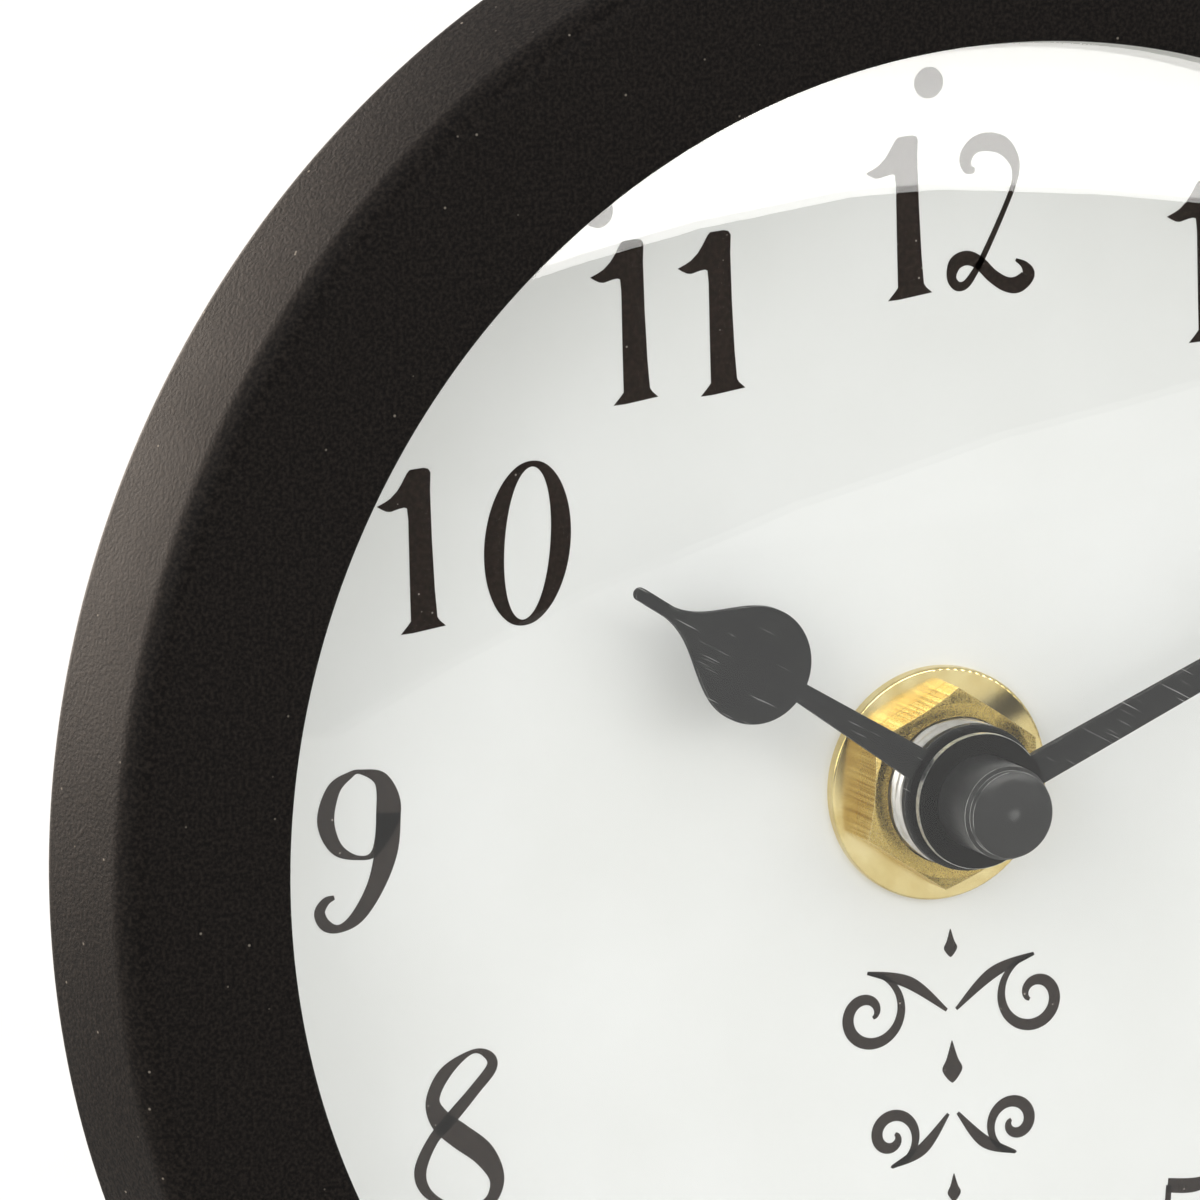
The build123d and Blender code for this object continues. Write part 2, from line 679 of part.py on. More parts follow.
# Hour wheel: moulded wheel with the pipe that carries the hour hand
with BuildPart() as hour_wheel:
    toothed(HOUR_TEETH, HOUR_MODULE, HOUR_PHASE, HOUR_LEVEL, MIDDLE)
    disc(PIPE_RADIUS, HOUR_LEVEL[1], PIPE_FRONT)
    disc(ARBOR_RADIUS + RUN, HOUR_LEVEL[0], PIPE_FRONT, mode=Mode.SUBTRACT)
finish(hour_wheel, "hour_wheel")

# Minute arbor with the cannon pinion; its hollow rear end carries the second arbor's front pivot
with BuildPart() as minute_arbor:
    disc(ARBOR_RADIUS, COLLAR_LEVEL[0], ARBOR_FRONT)
    toothed(CANNON_TEETH, CANNON_MODULE, CANNON_PHASE, CANNON_LEVEL, MIDDLE)
    disc(PIVOT + RUN, COLLAR_LEVEL[0], PLATE_LEVEL[0], mode=Mode.SUBTRACT)
finish(minute_arbor, "minute_arbor")

# Slip clutch: dished spring washer and collar on the minute arbor, which grip the centre wheel
with BuildPart() as clutch_spring:
    front = CLUTCH_LEVEL[1] - RUN
    turned(
        [
            (ARBOR_RADIUS, CLUTCH_LEVEL[0]),
            (CLUTCH_RADIUS, front - CLUTCH_LEAF),
            (CLUTCH_RADIUS, front),
            (ARBOR_RADIUS, CLUTCH_LEVEL[0] + CLUTCH_LEAF),
        ]
    )
finish(clutch_spring, "clutch_spring")

with BuildPart() as clutch_collar:
    disc(COLLAR_RADIUS, *COLLAR_LEVEL)
    disc(ARBOR_RADIUS, *COLLAR_LEVEL, mode=Mode.SUBTRACT)
finish(clutch_collar, "clutch_collar")

with BuildPart() as centre_wheel:
    toothed(CENTRE_TEETH, CENTRE_MODULE, CENTRE_PHASE, CENTRE_LEVEL, MIDDLE)
    disc(ARBOR_RADIUS + RUN, *CENTRE_LEVEL, mode=Mode.SUBTRACT)
finish(centre_wheel, "centre_wheel")

# Motion wheel: takes the cannon pinion's turn down to the hour wheel
with BuildPart() as motion_wheel:
    toothed(MOTION_TEETH, CANNON_MODULE, MOTION_PHASE, CANNON_LEVEL, MOTION_AT)
    toothed(MOTION_PINION_TEETH, HOUR_MODULE, MOTION_PHASE, (CANNON_LEVEL[1], HOUR_LEVEL[1]), MOTION_AT)
    disc(THICK_PIVOT, PLATE_LEVEL[0] + PIVOT_DEPTH, WALL_IN + PIVOT, MOTION_AT)
finish(motion_wheel, "motion_wheel")

# Setting arbor with its pinion, and the knurled knob pressed on behind
with BuildPart() as setting_arbor:
    toothed(SETTING_TEETH, CANNON_MODULE, SETTING_PHASE, CANNON_LEVEL, SETTING_AT)
    disc(THICK_PIVOT, CANNON_LEVEL[1], WALL_IN + PIVOT, SETTING_AT)
    disc(SHAFT, SHAFT_END, CANNON_LEVEL[1], SETTING_AT)
finish(setting_arbor, "setting_arbor")

with BuildPart() as set_knob:
    with BuildSketch(dial_plane(KNOB_BACK, SETTING_AT)):
        Circle(KNOB_RADIUS)
        with PolarLocations(KNOB_RADIUS, KNOB_FLUTES):
            Circle(FLUTE_RADIUS, mode=Mode.SUBTRACT)
    extrude(amount=KNOB_FRONT - KNOB_BACK)
    disc(SHAFT, SHAFT_END, KNOB_FRONT, SETTING_AT, Mode.SUBTRACT)
    chamfer(set_knob.edges().group_by(Axis.Y)[-1], KNOB_CHAMFER)
finish(set_knob, "set_knob")


def arbor(radius, at, front, pivot_front):
    """Plain arbor between the cover and its front pivot, with turned-down pivots at both ends."""
    disc(radius, COVER_IN + PIVOT_DEPTH, front, at)
    disc(PIVOT, PIVOT_END, COVER_IN + PIVOT_DEPTH, at)
    disc(PIVOT, front, pivot_front, at)


# Going train: third, second and intermediate wheels
with BuildPart() as third_wheel:
    toothed(THIRD_TEETH, THIRD_MODULE, THIRD_PHASE, THIRD_LEVEL, THIRD_AT)
    toothed(THIRD_PINION_TEETH, CENTRE_MODULE, THIRD_PHASE, CENTRE_LEVEL, THIRD_AT, TOOTH_OVERHANG)
    arbor(ARBOR_BODY, THIRD_AT, BEHIND_PLATE, PLATE_PIVOT)
finish(third_wheel, "third_wheel")

with BuildPart() as second_wheel:
    toothed(SECOND_TEETH, SECOND_MODULE, SECOND_PHASE, SECOND_LEVEL, MIDDLE)
    toothed(SECOND_PINION_TEETH, THIRD_MODULE, SECOND_PHASE, THIRD_LEVEL, MIDDLE, TOOTH_OVERHANG)
    arbor(ARBOR_BODY, MIDDLE, THIRD_LEVEL[1] + TOOTH_OVERHANG, PLATE_LEVEL[0] - PIVOT)
finish(second_wheel, "second_wheel")

with BuildPart() as intermediate_wheel:
    toothed(INTERMEDIATE_TEETH, ROTOR_MODULE, INTERMEDIATE_PHASE, INTERMEDIATE_LEVEL, INTERMEDIATE_AT)
    toothed(
        INTERMEDIATE_PINION_TEETH, SECOND_MODULE, INTERMEDIATE_PHASE,
        SECOND_LEVEL, INTERMEDIATE_AT, TOOTH_OVERHANG,
    )
    sleeve_front = SECOND_LEVEL[1] + TOOTH_OVERHANG
    disc(SLEEVE, COVER_IN + PIVOT_DEPTH, SECOND_LEVEL[0], INTERMEDIATE_AT)
    disc(PIVOT + RUN, COVER_IN, sleeve_front, INTERMEDIATE_AT, Mode.SUBTRACT)
finish(intermediate_wheel, "intermediate_wheel")

# Rotor of the stepping motor: arbor with pinion, and the ring magnet on it
with BuildPart() as rotor:
    toothed(ROTOR_TEETH, ROTOR_MODULE, ROTOR_PHASE, INTERMEDIATE_LEVEL, ROTOR_AT, TOOTH_OVERHANG)
    disc(MAGNET_BORE, MAGNET_LEVEL[0], INTERMEDIATE_LEVEL[0], ROTOR_AT)
    arbor(ARBOR_BODY, ROTOR_AT, BEHIND_PLATE, PLATE_PIVOT)
finish(rotor, "rotor")

with BuildPart() as rotor_magnet:
    disc(MAGNET_RADIUS, *MAGNET_LEVEL, ROTOR_AT)
    disc(MAGNET_BORE, *MAGNET_LEVEL, ROTOR_AT, Mode.SUBTRACT)
finish(rotor_magnet, "rotor_magnet")

# Stator plate round the rotor with two arms up to the coil's core
with BuildPart() as stator:
    block(STATOR_LEFT, STATOR_RIGHT, STATOR_LOW, STATOR_YOKE, *STATOR_LEVEL, STATOR_ROUND)
    for left in (STATOR_LEFT, STATOR_RIGHT - STATOR_ARM):
        block(left, left + STATOR_ARM, STATOR_ARM_LOW, COIL_UP + CORE_HALF, *STATOR_LEVEL, STATOR_ROUND)
    disc(MAGNET_RADIUS + MAGNET_GAP, *STATOR_LEVEL, ROTOR_AT, Mode.SUBTRACT)
finish(stator, "stator")

with BuildPart() as coil_core:
    block(STATOR_LEFT, STATOR_RIGHT, COIL_UP - CORE_HALF, COIL_UP + CORE_HALF, *CORE_LEVEL)
finish(coil_core, "coil_core")

# Coil: moulded bobbin with two cheeks round the core, and the copper winding between the cheeks
with BuildPart() as coil_bobbin:
    bar_along_x(BOBBIN_RADIUS, COIL_LEFT, COIL_RIGHT, COIL_UP, COIL_DEPTH)
    for left in (COIL_LEFT, COIL_RIGHT - CHEEK):
        bar_along_x(CHEEK_RADIUS, left, left + CHEEK, COIL_UP, COIL_DEPTH)
    block(
        STATOR_LEFT, STATOR_RIGHT, COIL_UP - CORE_HALF - RUN, COIL_UP + CORE_HALF + RUN,
        CORE_LEVEL[0] - RUN, CORE_LEVEL[1] + RUN, mode=Mode.SUBTRACT,
    )
finish(coil_bobbin, "coil_bobbin")

with BuildPart() as coil_winding:
    bar_along_x(WINDING_RADIUS, COIL_LEFT + CHEEK, COIL_RIGHT - CHEEK, COIL_UP, COIL_DEPTH)
    bar_along_x(BOBBIN_RADIUS, COIL_LEFT + CHEEK, COIL_RIGHT - CHEEK, COIL_UP, COIL_DEPTH, Mode.SUBTRACT)
finish(coil_winding, "coil_winding")

# Circuit board with its chip under a resin drop and the tuning-fork crystal in its can
with BuildPart() as circuit_board:
    block(BOARD_LEFT, BOARD_RIGHT, BOARD_LOW, BOARD_HIGH, *BOARD_LEVEL)
finish(circuit_board, "circuit_board")

with BuildPart() as chip:
    disc(CHIP_RADIUS, BOARD_LEVEL[1], BOARD_LEVEL[1] + CHIP_RISE, CHIP_AT)
    fillet(chip.edges().group_by(Axis.Y)[0], CHIP_ROUND)
finish(chip, "chip")

with BuildPart() as quartz_crystal:
    crystal_right = CRYSTAL_LEFT + CRYSTAL_LENGTH
    bar_along_x(CRYSTAL_RADIUS, CRYSTAL_LEFT, crystal_right, CRYSTAL_UP, BOARD_LEVEL[1] + CRYSTAL_RADIUS)
finish(quartz_crystal, "quartz_crystal")

# Movement case: moulded tub with the battery bay, pillars for the train plate and the front bearings
with BuildPart() as movement_case:
    block(-HALF_WIDE, HALF_WIDE, -HALF_HIGH, HALF_HIGH, COVER_IN, MOVEMENT_FRONT, MOVEMENT_ROUND)
    block(
        -INSIDE_WIDE, INSIDE_WIDE, -INSIDE_HIGH, INSIDE_HIGH,
        COVER_IN, WALL_IN, MOVEMENT_ROUND - PLASTIC, Mode.SUBTRACT,
    )
    block(STRIP_SLOT - INSIDE_WIDE, INSIDE_WIDE - STRIP_SLOT, BAY_TOP, PARTITION_TOP, COVER_IN, WALL_IN)
    for pillar in PILLARS:
        disc(PILLAR_RADIUS, PLATE_LEVEL[1], WALL_IN, pillar)
    disc(STEM_RADIUS + RUN, WALL_IN, MOVEMENT_FRONT, mode=Mode.SUBTRACT)
    disc(STEM_FLANGE + RUN, MOVEMENT_FRONT - STEM_FLANGE_THICK, MOVEMENT_FRONT, mode=Mode.SUBTRACT)
    for at in (MOTION_AT, SETTING_AT):
        disc(THICK_PIVOT + RUN, WALL_IN, WALL_IN + PIVOT + PIVOT_DEPTH, at, Mode.SUBTRACT)
finish(movement_case, "movement_case")

# Train plate on the pillars, with the bearing holes of the arbors
with BuildPart() as train_plate:
    block(PLATE_LEFT, PLATE_RIGHT, PLATE_LOW, PLATE_HIGH, *PLATE_LEVEL, PLATE_ROUND)
    for at, radius in (
        (MIDDLE, ARBOR_RADIUS),
        (MOTION_AT, THICK_PIVOT),
        (THIRD_AT, PIVOT),
        (ROTOR_AT, PIVOT),
        (SETTING_AT, SHAFT),
    ):
        disc(radius + RUN, *PLATE_LEVEL, at, Mode.SUBTRACT)
finish(train_plate, "train_plate")

# Movement cover over the mechanism, with rear bearings, the intermediate wheel's stud and the board's pegs
with BuildPart() as movement_cover:
    block(-HALF_WIDE, HALF_WIDE, BAY_TOP, HALF_HIGH, MOVEMENT_BACK, COVER_IN, MOVEMENT_ROUND)
    for at in (MIDDLE, THIRD_AT, ROTOR_AT):
        disc(PIVOT + RUN, PIVOT_END - PIVOT_DEPTH, COVER_IN, at, Mode.SUBTRACT)
    disc(SHAFT + RUN, MOVEMENT_BACK, COVER_IN, SETTING_AT, Mode.SUBTRACT)
    disc(PIVOT, COVER_IN, SECOND_LEVEL[1], INTERMEDIATE_AT)
    for x in (BOARD_LEFT + PEG_INSET, BOARD_RIGHT - PEG_INSET):
        disc(PEG_RADIUS, COVER_IN, BOARD_LEVEL[0], (x, (BOARD_LOW + BOARD_HIGH) / 2))
finish(movement_cover, "movement_cover")

# Battery: one AA cell lying across the bay, its button end to the left
with BuildPart() as battery:
    bar_along_x(CELL_RADIUS, CELL_LEFT, CELL_RIGHT, BAY_MIDDLE, CELL_DEPTH)
    bar_along_x(CELL_NUB, CELL_LEFT - CELL_NUB_LENGTH, CELL_LEFT, BAY_MIDDLE, CELL_DEPTH)
finish(battery, "battery")

# Battery contacts: sprung strips on the end walls that run past the partition to the board
with BuildPart() as contact_plus:
    left = -INSIDE_WIDE
    block(left, left + STRIP, CONTACT_LOW, TAB_HIGH, CONTACT_BACK, CONTACT_FRONT)
    block(left, left + STRIP, TAB_LOW, TAB_HIGH, BOARD_LEVEL[1], CONTACT_BACK)
    block(left, BOARD_LEFT + STRIP, TAB_LOW, TAB_HIGH, BOARD_LEVEL[1], BOARD_LEVEL[1] + STRIP)
finish(contact_plus, "contact_plus")

with BuildPart() as contact_minus:
    strip_top = PARTITION_TOP + STRIP
    wall = INSIDE_WIDE - STRIP
    block(wall, INSIDE_WIDE, CONTACT_LOW, strip_top, RETURN_BACK, CONTACT_FRONT)
    block(RISER, INSIDE_WIDE, PARTITION_TOP, strip_top, RETURN_BACK, RETURN_FRONT)
    block(RISER - STRIP, RISER, PARTITION_TOP, RISER_TOP, BOARD_LEVEL[1], RETURN_FRONT)
    with BuildSketch(dial_plane(CONTACT_BACK)):
        with BuildLine():
            Polyline(
                (wall, BAY_MIDDLE - TONGUE_HALF),
                (TONGUE_APEX, BAY_MIDDLE),
                (wall, BAY_MIDDLE + TONGUE_HALF),
                (wall, BAY_MIDDLE + TONGUE_HALF - 2 * STRIP),
                (TONGUE_APEX + STRIP, BAY_MIDDLE),
                (wall, BAY_MIDDLE - TONGUE_HALF + 2 * STRIP),
                close=True,
            )
        make_face()
    extrude(amount=CONTACT_FRONT - CONTACT_BACK)
finish(contact_minus, "contact_minus")

# Stand neck: turned steel column, flared at the foot and hollowed at the top to seat the bowl
with BuildPart() as stand_neck:
    with BuildSketch(Plane.XZ):
        with BuildLine():
            Line((0, BASE_TOP), (NECK_FOOT, BASE_TOP))
            TangentArc((NECK_RADIUS, NECK_WAIST), (NECK_FOOT, BASE_TOP), tangent=(0, -1))
            Polyline((NECK_RADIUS, NECK_WAIST), (NECK_RADIUS, NECK_TOP), (0, NECK_TOP), (0, BASE_TOP))
        make_face()
    revolve(axis=Axis.Z)
    revolve_bowl(0, Mode.SUBTRACT)
    with BuildSketch(Plane.XY.offset(BASE_TOP)):
        Circle(BOLT_RADIUS + RUN)
    extrude(amount=BOLT_END - BASE_TOP, mode=Mode.SUBTRACT)
    with BuildSketch(Plane.XY.offset(SCREW_END)):
        Circle(SCREW_RADIUS + RUN)
    extrude(amount=NECK_TOP - SCREW_END, mode=Mode.SUBTRACT)
finish(stand_neck, "stand_neck")

# Saddle and screw inside the bowl, which hold the bowl down on the neck
with BuildPart() as neck_saddle:
    revolve_bowl(SHEET)
    with BuildSketch(Plane.XY.offset(BASE_TOP)):
        Circle(SADDLE_RADIUS)
    extrude(amount=SADDLE_TOP - BASE_TOP, mode=Mode.INTERSECT)
    with BuildSketch(Plane.XY.offset(BASE_TOP)):
        Circle(SCREW_RADIUS + HOLE_PLAY)
    extrude(amount=SADDLE_TOP - BASE_TOP, mode=Mode.SUBTRACT)
finish(neck_saddle, "neck_saddle")

with BuildPart() as neck_screw:
    with BuildSketch(Plane.XY.offset(SCREW_END)):
        Circle(SCREW_RADIUS)
    extrude(amount=SADDLE_TOP - SCREW_END)
    with BuildSketch(Plane.XY.offset(SADDLE_TOP)):
        Circle(SCREW_HEAD)
    extrude(amount=HEAD_THICK)
    fillet(neck_screw.edges().group_by(Axis.Z)[-1], HEAD_ROUND)
    with BuildSketch(Plane.XY.offset(SADDLE_TOP + HEAD_THICK / 2)):
        RegularPolygon(SCREW_RADIUS, 6)
    extrude(amount=HEAD_THICK, mode=Mode.SUBTRACT)
finish(neck_screw, "neck_screw")

# Stand base: heavy casting with a stepped, hollowed top and a recess below for the bolt's head
with BuildPart() as stand_base:
    with BuildSketch(Plane.XZ):
        with BuildLine():
            Line((0, FELT), (BASE_RADIUS, FELT))
            Line((BASE_RADIUS, FELT), (BASE_RADIUS, BASE_EDGE))
            TangentArc((BASE_RADIUS, BASE_EDGE), BASE_SHOULDER, tangent=(0, 1))
            Line(BASE_SHOULDER, BASE_STEP)
            SagittaArc(BASE_STEP, (BASE_RING, BASE_TOP), HOLLOW_SAG)
            Polyline((BASE_RING, BASE_TOP), (0, BASE_TOP), (0, FELT))
        make_face()
    revolve(axis=Axis.Z)
    with BuildSketch(Plane.XY.offset(FELT)):
        Circle(RECESS_RADIUS)
    extrude(amount=BOLT_SEAT - FELT, mode=Mode.SUBTRACT)
    with BuildSketch(Plane.XY.offset(FELT)):
        Circle(BOLT_RADIUS + HOLE_PLAY)
    extrude(amount=BASE_TOP, mode=Mode.SUBTRACT)
finish(stand_base, "stand_base")

with BuildPart() as base_bolt:
    with BuildSketch(Plane.XY.offset(BOLT_SEAT - HEAD_THICK)):
        RegularPolygon(BOLT_HEAD, 6)
    extrude(amount=HEAD_THICK)
    with BuildSketch(Plane.XY.offset(BOLT_SEAT)):
        Circle(BOLT_RADIUS)
    extrude(amount=BOLT_END - BOLT_SEAT)
finish(base_bolt, "base_bolt")

# Felt pad glued under the base
with BuildPart() as felt_pad:
    with BuildSketch(Plane.XY):
        Circle(FELT_RADIUS)
    extrude(amount=FELT)
finish(felt_pad, "felt_pad")
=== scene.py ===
import json
from math import ceil, cos, hypot, pi, radians, sin, sqrt, tan

import bmesh
import bpy
from mathutils import Matrix, Vector


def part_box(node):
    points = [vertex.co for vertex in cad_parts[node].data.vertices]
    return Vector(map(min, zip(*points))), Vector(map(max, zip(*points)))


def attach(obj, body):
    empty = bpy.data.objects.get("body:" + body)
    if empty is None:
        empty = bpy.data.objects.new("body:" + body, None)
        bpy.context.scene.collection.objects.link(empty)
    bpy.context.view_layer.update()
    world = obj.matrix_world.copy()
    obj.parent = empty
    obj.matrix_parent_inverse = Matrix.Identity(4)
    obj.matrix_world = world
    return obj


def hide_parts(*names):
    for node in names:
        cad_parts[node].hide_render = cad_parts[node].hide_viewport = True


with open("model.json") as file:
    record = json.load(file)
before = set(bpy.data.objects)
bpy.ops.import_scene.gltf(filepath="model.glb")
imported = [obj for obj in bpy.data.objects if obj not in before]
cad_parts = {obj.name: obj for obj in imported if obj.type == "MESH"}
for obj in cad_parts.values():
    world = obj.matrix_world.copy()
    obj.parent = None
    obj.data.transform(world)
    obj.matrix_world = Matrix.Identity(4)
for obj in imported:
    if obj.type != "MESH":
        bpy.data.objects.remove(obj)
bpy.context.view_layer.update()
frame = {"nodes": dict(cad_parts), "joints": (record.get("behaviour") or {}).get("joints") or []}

# Steel case and stand: the pressed bezel, the spun bowl, the turned neck and the cast base.
# All four are sprayed with the same black paint, which dries to a fine sandy skin.
# The bowl hooks into the bezel's hem and is screwed down on the neck.
MM = 0.001
PAINT_BLACK = "#0b0908"
PAINT_WORN = "#211d1a"
PAINT_DUST = "#6d675f"
PAINT_GRIT_MM = 0.26
PAINT_CLOUD_MM = 7.0
PAINT_DUST_MM = 1.9


def linear(colour):
    """An sRGB hex colour as the linear values that a shader takes."""
    parts = [int(colour[i : i + 2], 16) / 255 for i in (1, 3, 5)]
    return [c / 12.92 if c <= 0.04045 else ((c + 0.055) / 1.055) ** 2.4 for c in parts] + [1.0]


def per(size_mm):
    """How many of a pattern's cells fit in a metre, from the size of one in millimetres."""
    return 1000.0 / size_mm


def add(finish, kind, settings=None, links=None):
    """Adds one shader node to a finish, with its settings and the outputs that feed it.

    Sockets go by name, or by number where names repeat: a colour mix has its factor at 0,
    its two colours at 6 and 7 and its result at 2.
    """
    step = finish.node_tree.nodes.new("ShaderNode" + kind)
    for name, value in (settings or {}).items():
        if isinstance(name, int) or name in step.inputs:
            step.inputs[name].default_value = value
        else:
            setattr(step, name, value)
    for name, socket in (links or {}).items():
        finish.node_tree.links.new(socket, step.inputs[name])
    return step


def new_finish(name, roughness, metallic=0.0, **sockets):
    """A finish with its shader, and the surface coordinates that its patterns are laid out on."""
    finish = bpy.data.materials.new(name)
    finish.use_nodes = True
    shader = finish.node_tree.nodes["Principled BSDF"]
    shader.inputs["Roughness"].default_value = roughness
    shader.inputs["Metallic"].default_value = metallic
    for socket, value in sockets.items():
        shader.inputs[socket.replace("_", " ")].default_value = value
    place = add(finish, "TexCoord").outputs["Object"]
    return finish, shader, place


def ramp(finish, fed_by, stops):
    """A colour ramp through (position, hex colour) stops."""
    step = add(finish, "ValToRGB", links={"Fac": fed_by})
    band = step.color_ramp
    while len(band.elements) < len(stops):
        band.elements.new(0.5)
    for element, (position, colour) in zip(band.elements, stops):
        element.position = position
        element.color = linear(colour)
    return step.outputs["Color"]


def feed(finish, shader, **sockets):
    """Links outputs to a shader's sockets."""
    for name, socket in sockets.items():
        finish.node_tree.links.new(socket, shader.inputs[name.replace("_", " ")])


def dress(finish, *names):
    """Gives CAD nodes a finish."""
    for name in names:
        materials = frame["nodes"][name].data.materials
        materials.clear()
        materials.append(finish)


# Sand-textured black paint: grit breaks up every highlight, and a few pale dust grains are caught in it.
black_paint, shader, place = new_finish("black_paint_sand_textured", 0.5, Specular_IOR_Level=0.08)
grit = add(black_paint, "TexNoise", {"Scale": per(PAINT_GRIT_MM), "Detail": 3.0}, {"Vector": place})
cloud = add(black_paint, "TexNoise", {"Scale": per(PAINT_CLOUD_MM), "Detail": 4.0}, {"Vector": place})
body = ramp(black_paint, grit.outputs["Fac"], [(0.4, PAINT_BLACK), (0.7, PAINT_WORN)])
dust = add(black_paint, "TexVoronoi", {"Scale": per(PAINT_DUST_MM)}, {"Vector": place})
caught = add(
    black_paint, "MapRange", {"From Min": 0.06, "From Max": 0.03},
    {"Value": dust.outputs["Distance"]},
)
speckled = add(
    black_paint, "Mix", {"data_type": "RGBA", 7: linear(PAINT_DUST)}, {0: caught.outputs["Result"], 6: body}
)
sheen = add(black_paint, "MapRange", {"To Min": 0.46, "To Max": 0.58}, {"Value": cloud.outputs["Fac"]})
relief = add(black_paint, "Bump", {"Strength": 0.8, "Distance": 0.05 * MM}, {"Height": grit.outputs["Fac"]})
feed(
    black_paint, shader,
    Base_Color=speckled.outputs[2], Roughness=sheen.outputs["Result"], Normal=relief.outputs["Normal"],
)
dress(black_paint, "case_bowl", "stand_neck", "stand_base")

middle = Vector(frame["joints"][0]["pos_m"])


def on_dial(x, y, forward=0.0):
    """A point in the row frame from millimetres right of, above and in front of the dial's middle."""
    return middle + Vector((x, -forward, y)) * MM


def about_dial(radius, angle, forward):
    """A point round the dial's axis, from millimetres."""
    return on_dial(radius * sin(angle), radius * cos(angle), forward)


def mesh_piece(name, points, faces, finish, body, crease=35.0):
    """A mesh piece in the clock's frame that moves with one of its bodies."""
    mesh = bpy.data.meshes.new(name)
    mesh.from_pydata(points, [], faces)
    mesh.materials.append(finish)
    shape = bmesh.new()
    shape.from_mesh(mesh)
    bmesh.ops.recalc_face_normals(shape, faces=shape.faces)
    shape.to_mesh(mesh)
    shape.free()
    mesh.shade_smooth()
    mesh.set_sharp_from_angle(angle=radians(crease))
    piece = bpy.data.objects.new(name, mesh)
    bpy.context.scene.collection.objects.link(piece)
    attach(piece, body)
    return piece


BEND_STEPS = 10


def bent(corners):
    """A closed section (radius, along) through corners that are each bent to a radius."""
    section = []
    for i, (r, along, bend) in enumerate(corners):
        corner = Vector((r, along))
        back = (Vector(corners[i - 1][:2]) - corner).normalized()
        on = (Vector(corners[(i + 1) % len(corners)][:2]) - corner).normalized()
        if not bend:
            section.append(corner)
            continue
        half = back.angle(on) / 2
        centre = corner + (back + on).normalized() * (bend / sin(half))
        start = corner + back * (bend / tan(half)) - centre
        sweep = start.angle_signed(corner + on * (bend / tan(half)) - centre)
        for step in range(BEND_STEPS + 1):
            section.append(centre + Matrix.Rotation(-sweep * step / BEND_STEPS, 2) @ start)
    return section


def turned(name, section, about, steps, finish, body):
    """A turned piece from the closed section (radius, along) that a lathe tool would follow."""
    points = [about(r, 2 * pi * s / steps, along) for s in range(steps) for r, along in section]
    count = len(section)
    faces = [
        (s * count + i, s * count + j, t * count + j, t * count + i)
        for s, t in zip(range(steps), [*range(1, steps), 0])
        for i, j in zip(range(count), [*range(1, count), 0])
    ]
    return mesh_piece(name, points, faces, finish, body)


# Front bezel: pressed from 1 mm steel sheet, with a wide flat front and a soft shoulder.
# Its lip holds the glass, and its back edge is turned in behind as a hem.
SHEET_MM = 1.0
RIM_RADIUS_MM = 66.35
LIP_RADIUS_MM = 52.2
LIP_ROUND_MM = 0.35
SHOULDER_INSET_MM = 2.3
SHOULDER_ROUND_MM = 2.2
RIM_ROUND_MM = 0.7
HEM_WIDE_MM = 5.2
BEZEL_STEPS = 360
bezel_low, bezel_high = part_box("bezel")
lip_front = (middle.y - bezel_low.y) / MM
rim_back = (middle.y - bezel_high.y) / MM
shoulder = RIM_RADIUS_MM - SHOULDER_INSET_MM
bezel_corners = [
    (LIP_RADIUS_MM, lip_front - SHEET_MM, 0.0),
    (LIP_RADIUS_MM, lip_front, LIP_ROUND_MM),
    (shoulder, lip_front, SHOULDER_ROUND_MM),
    (RIM_RADIUS_MM, rim_back, RIM_ROUND_MM),
    (RIM_RADIUS_MM - HEM_WIDE_MM, rim_back, 0.0),
    (RIM_RADIUS_MM - HEM_WIDE_MM, rim_back + SHEET_MM, 0.0),
    (RIM_RADIUS_MM - SHEET_MM, rim_back + SHEET_MM, 0.0),
    (shoulder - SHEET_MM, lip_front - SHEET_MM, SHOULDER_ROUND_MM - SHEET_MM),
]
bezel = turned("painted_bezel", bent(bezel_corners), about_dial, BEZEL_STEPS, black_paint, "case")
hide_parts("bezel")

# Felt pad: a disc of pressed black wool felt, glued under the base so that it doesn't scratch the table.
# It is cut with a punch, so its edge is square and a little hairy.
FELT_ROUND_MM = 0.2
FELT_PUNCH_MM = 0.02
FELT_STEPS = 160
FELT_FIBRE_MM = 0.5
FELT_DARK = "#171615"
FELT_PALE = "#34312e"


def about_stand(radius, angle, up):
    """A point round the stand's upright axis, from millimetres."""
    return Vector((radius * cos(angle), radius * sin(angle), up)) * MM


felt_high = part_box("felt_pad")[1]
felt_radius = felt_high.x / MM
felt_thick = felt_high.z / MM
felt_corners = [
    (FELT_PUNCH_MM, 0.0, 0.0),
    (felt_radius, 0.0, FELT_ROUND_MM),
    (felt_radius, felt_thick, FELT_ROUND_MM),
    (FELT_PUNCH_MM, felt_thick, 0.0),
]
# Pressed wool felt: matted fibres with no weave, dull, with a soft fringe of light at the edge.
# The fibres are drawn at half a millimetre, coarser than wool, so that they show.
felt, shader, place = new_finish("wool_felt_pressed", 0.95, Sheen_Weight=0.4, Specular_IOR_Level=0.1)
fibre = add(
    felt, "TexNoise", {"Scale": per(FELT_FIBRE_MM), "Detail": 5.0, "Distortion": 1.5}, {"Vector": place}
)
relief = add(felt, "Bump", {"Strength": 0.8, "Distance": 0.2 * MM}, {"Height": fibre.outputs["Fac"]})
matted = ramp(felt, fibre.outputs["Fac"], [(0.3, FELT_DARK), (0.75, FELT_PALE)])
feed(felt, shader, Base_Color=matted, Normal=relief.outputs["Normal"])
pad = turned("felt_disc", bent(felt_corners), about_stand, FELT_STEPS, felt, "case")
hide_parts("felt_pad")

# Steel hardware that doesn't show: the dial's seat, the saddle, screws and bolt, and the motor's iron.
# Pressed or turned from mild steel and bright zinc plated against rust.
ZINC = "#b9bbbc"
ZINC_DULL = "#94979a"
ZINC_SPANGLE_MM = 1.4
